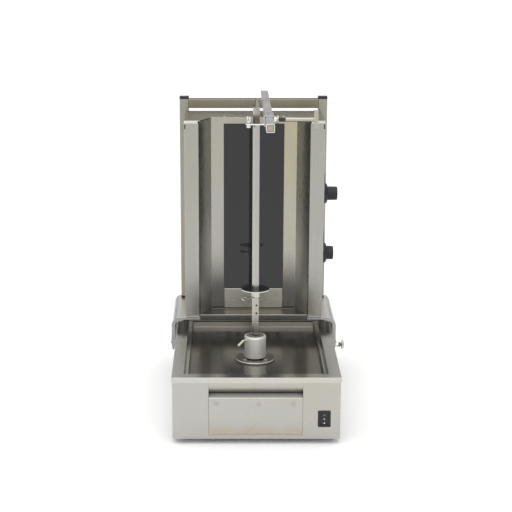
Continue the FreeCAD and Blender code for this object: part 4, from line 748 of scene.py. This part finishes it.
def add_stem_nut():
    """Chamfered hexagon nut on the thumbscrew's stem."""
    low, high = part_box("saddle_thumbscrew")
    y, z = (low.y + high.y) / 2, (low.z + high.z) / 2
    gap, thick, flat, chamfer, trimmed = 0.0003, 0.0042, 0.0044, 0.0008, 0.0009
    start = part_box("right_saddle")[1].x + gap
    corner = flat / math.cos(math.radians(30.0))
    around = 72
    bm = bmesh.new()
    loops = []
    for step, trim in ((0.0, trimmed), (chamfer, 0.0), (thick - chamfer, 0.0), (thick, trimmed)):
        loop = []
        for k in range(around):
            angle = 2 * math.pi * k / around
            reach = flat / math.cos((angle % (math.pi / 3)) - math.pi / 6)
            r = min(reach, corner - trim)
            loop.append(bm.verts.new((start + step, y + r * math.cos(angle), z + r * math.sin(angle))))
        loops.append(loop)
    skin(bm, loops)
    piece("stem_nut", bm, plated("nut_plate", (0.15, 0.14, 0.11), roughness=0.3), "thumbscrew")


# ---------------------------------------------------------------- stage


def make_stage():
    """Plain pale floor, wide enough to fill the view behind the object."""
    mesh = bpy.data.meshes.new("floor")
    reach = 40.0
    corners = [(-reach, -reach, 0.0), (reach, -reach, 0.0), (reach, reach, 0.0), (-reach, reach, 0.0)]
    mesh.from_pydata(corners, [], [(0, 1, 2, 3)])
    floor = link(bpy.data.objects.new("floor", mesh))
    g = Graph("floor_paint", FLOOR_WHITE, roughness=0.9, Specular_IOR_Level=0.0)
    speck = g.noise(g.place(), scale=30.0, detail=2.0, rough=0.5)
    g.paint(g.blend(g.spread(speck, 0.0, 0.3), FLOOR_WHITE, (0.92, 0.92, 0.915)))
    mesh.materials.append(g.material)


def make_world():
    """Soft studio light: bright above, fair in front, dim at the sides and behind.

    Seen by the camera itself it is brighter by 1, which makes a white backdrop.
    """
    world = bpy.data.worlds.new("studio")
    bpy.context.scene.world = world
    world.use_nodes = True
    nodes, links = world.node_tree.nodes, world.node_tree.links
    back = nodes["Background"]
    back.inputs["Color"].default_value = (1.0, 1.0, 1.0, 1.0)
    split = nodes.new("ShaderNodeSeparateXYZ")
    links.new(nodes.new("ShaderNodeTexCoord").outputs["Generated"], split.inputs[0])

    def ramp(source, start, end, low, high):
        made = nodes.new("ShaderNodeMapRange")
        made.interpolation_type = "SMOOTHSTEP"
        for socket, value in zip(("From Min", "From Max", "To Min", "To Max"), (start, end, low, high)):
            made.inputs[socket].default_value = value
        links.new(source, made.inputs["Value"])
        return made.outputs["Result"]

    def add(first, second):
        made = nodes.new("ShaderNodeMath")
        links.new(first, made.inputs[0])
        links.new(second, made.inputs[1])
        return made.outputs[0]

    above = ramp(split.outputs["Z"], start=0.05, end=0.75, low=WORLD_LOW, high=WORLD_TOP)
    front = ramp(split.outputs["Y"], start=-0.30, end=-0.95, low=0.0, high=WORLD_FRONT)
    seen = nodes.new("ShaderNodeLightPath").outputs["Is Camera Ray"]
    links.new(add(add(above, front), seen), back.inputs["Strength"])


def make_light():
    """One large soft lamp above, in front and to the left."""
    light = bpy.data.lights.new("top", "AREA")
    light.size = LAMP_SIZE
    light.energy = LAMP_POWER
    lamp = link(bpy.data.objects.new("top", light))
    lamp.location = LAMP_PLACE
    lamp.rotation_euler = (Vector(LAMP_AIM) - Vector(LAMP_PLACE)).to_track_quat("-Z", "Y").to_euler()


def make_camera():
    """Camera in front of the base, looking slightly down, framed a little to the right."""
    camera = bpy.data.cameras.new("camera")
    camera.sensor_width = 36.0
    camera.lens = CAMERA_LENS
    camera.shift_x = CAMERA_SHIFT
    camera.clip_end = 50.0
    eye = link(bpy.data.objects.new("camera", camera))
    eye.location = CAMERA_PLACE
    eye.rotation_euler = (math.radians(90.0 - CAMERA_TILT), 0.0, 0.0)
    bpy.context.scene.camera = eye


dress_base()
dress_drive()
dress_tower()
add_arm_plug()
add_lock_sleeve()
add_stem_nut()
make_stage()
make_world()
make_light()
make_camera()
bpy.context.scene.view_settings.view_transform = "Standard"
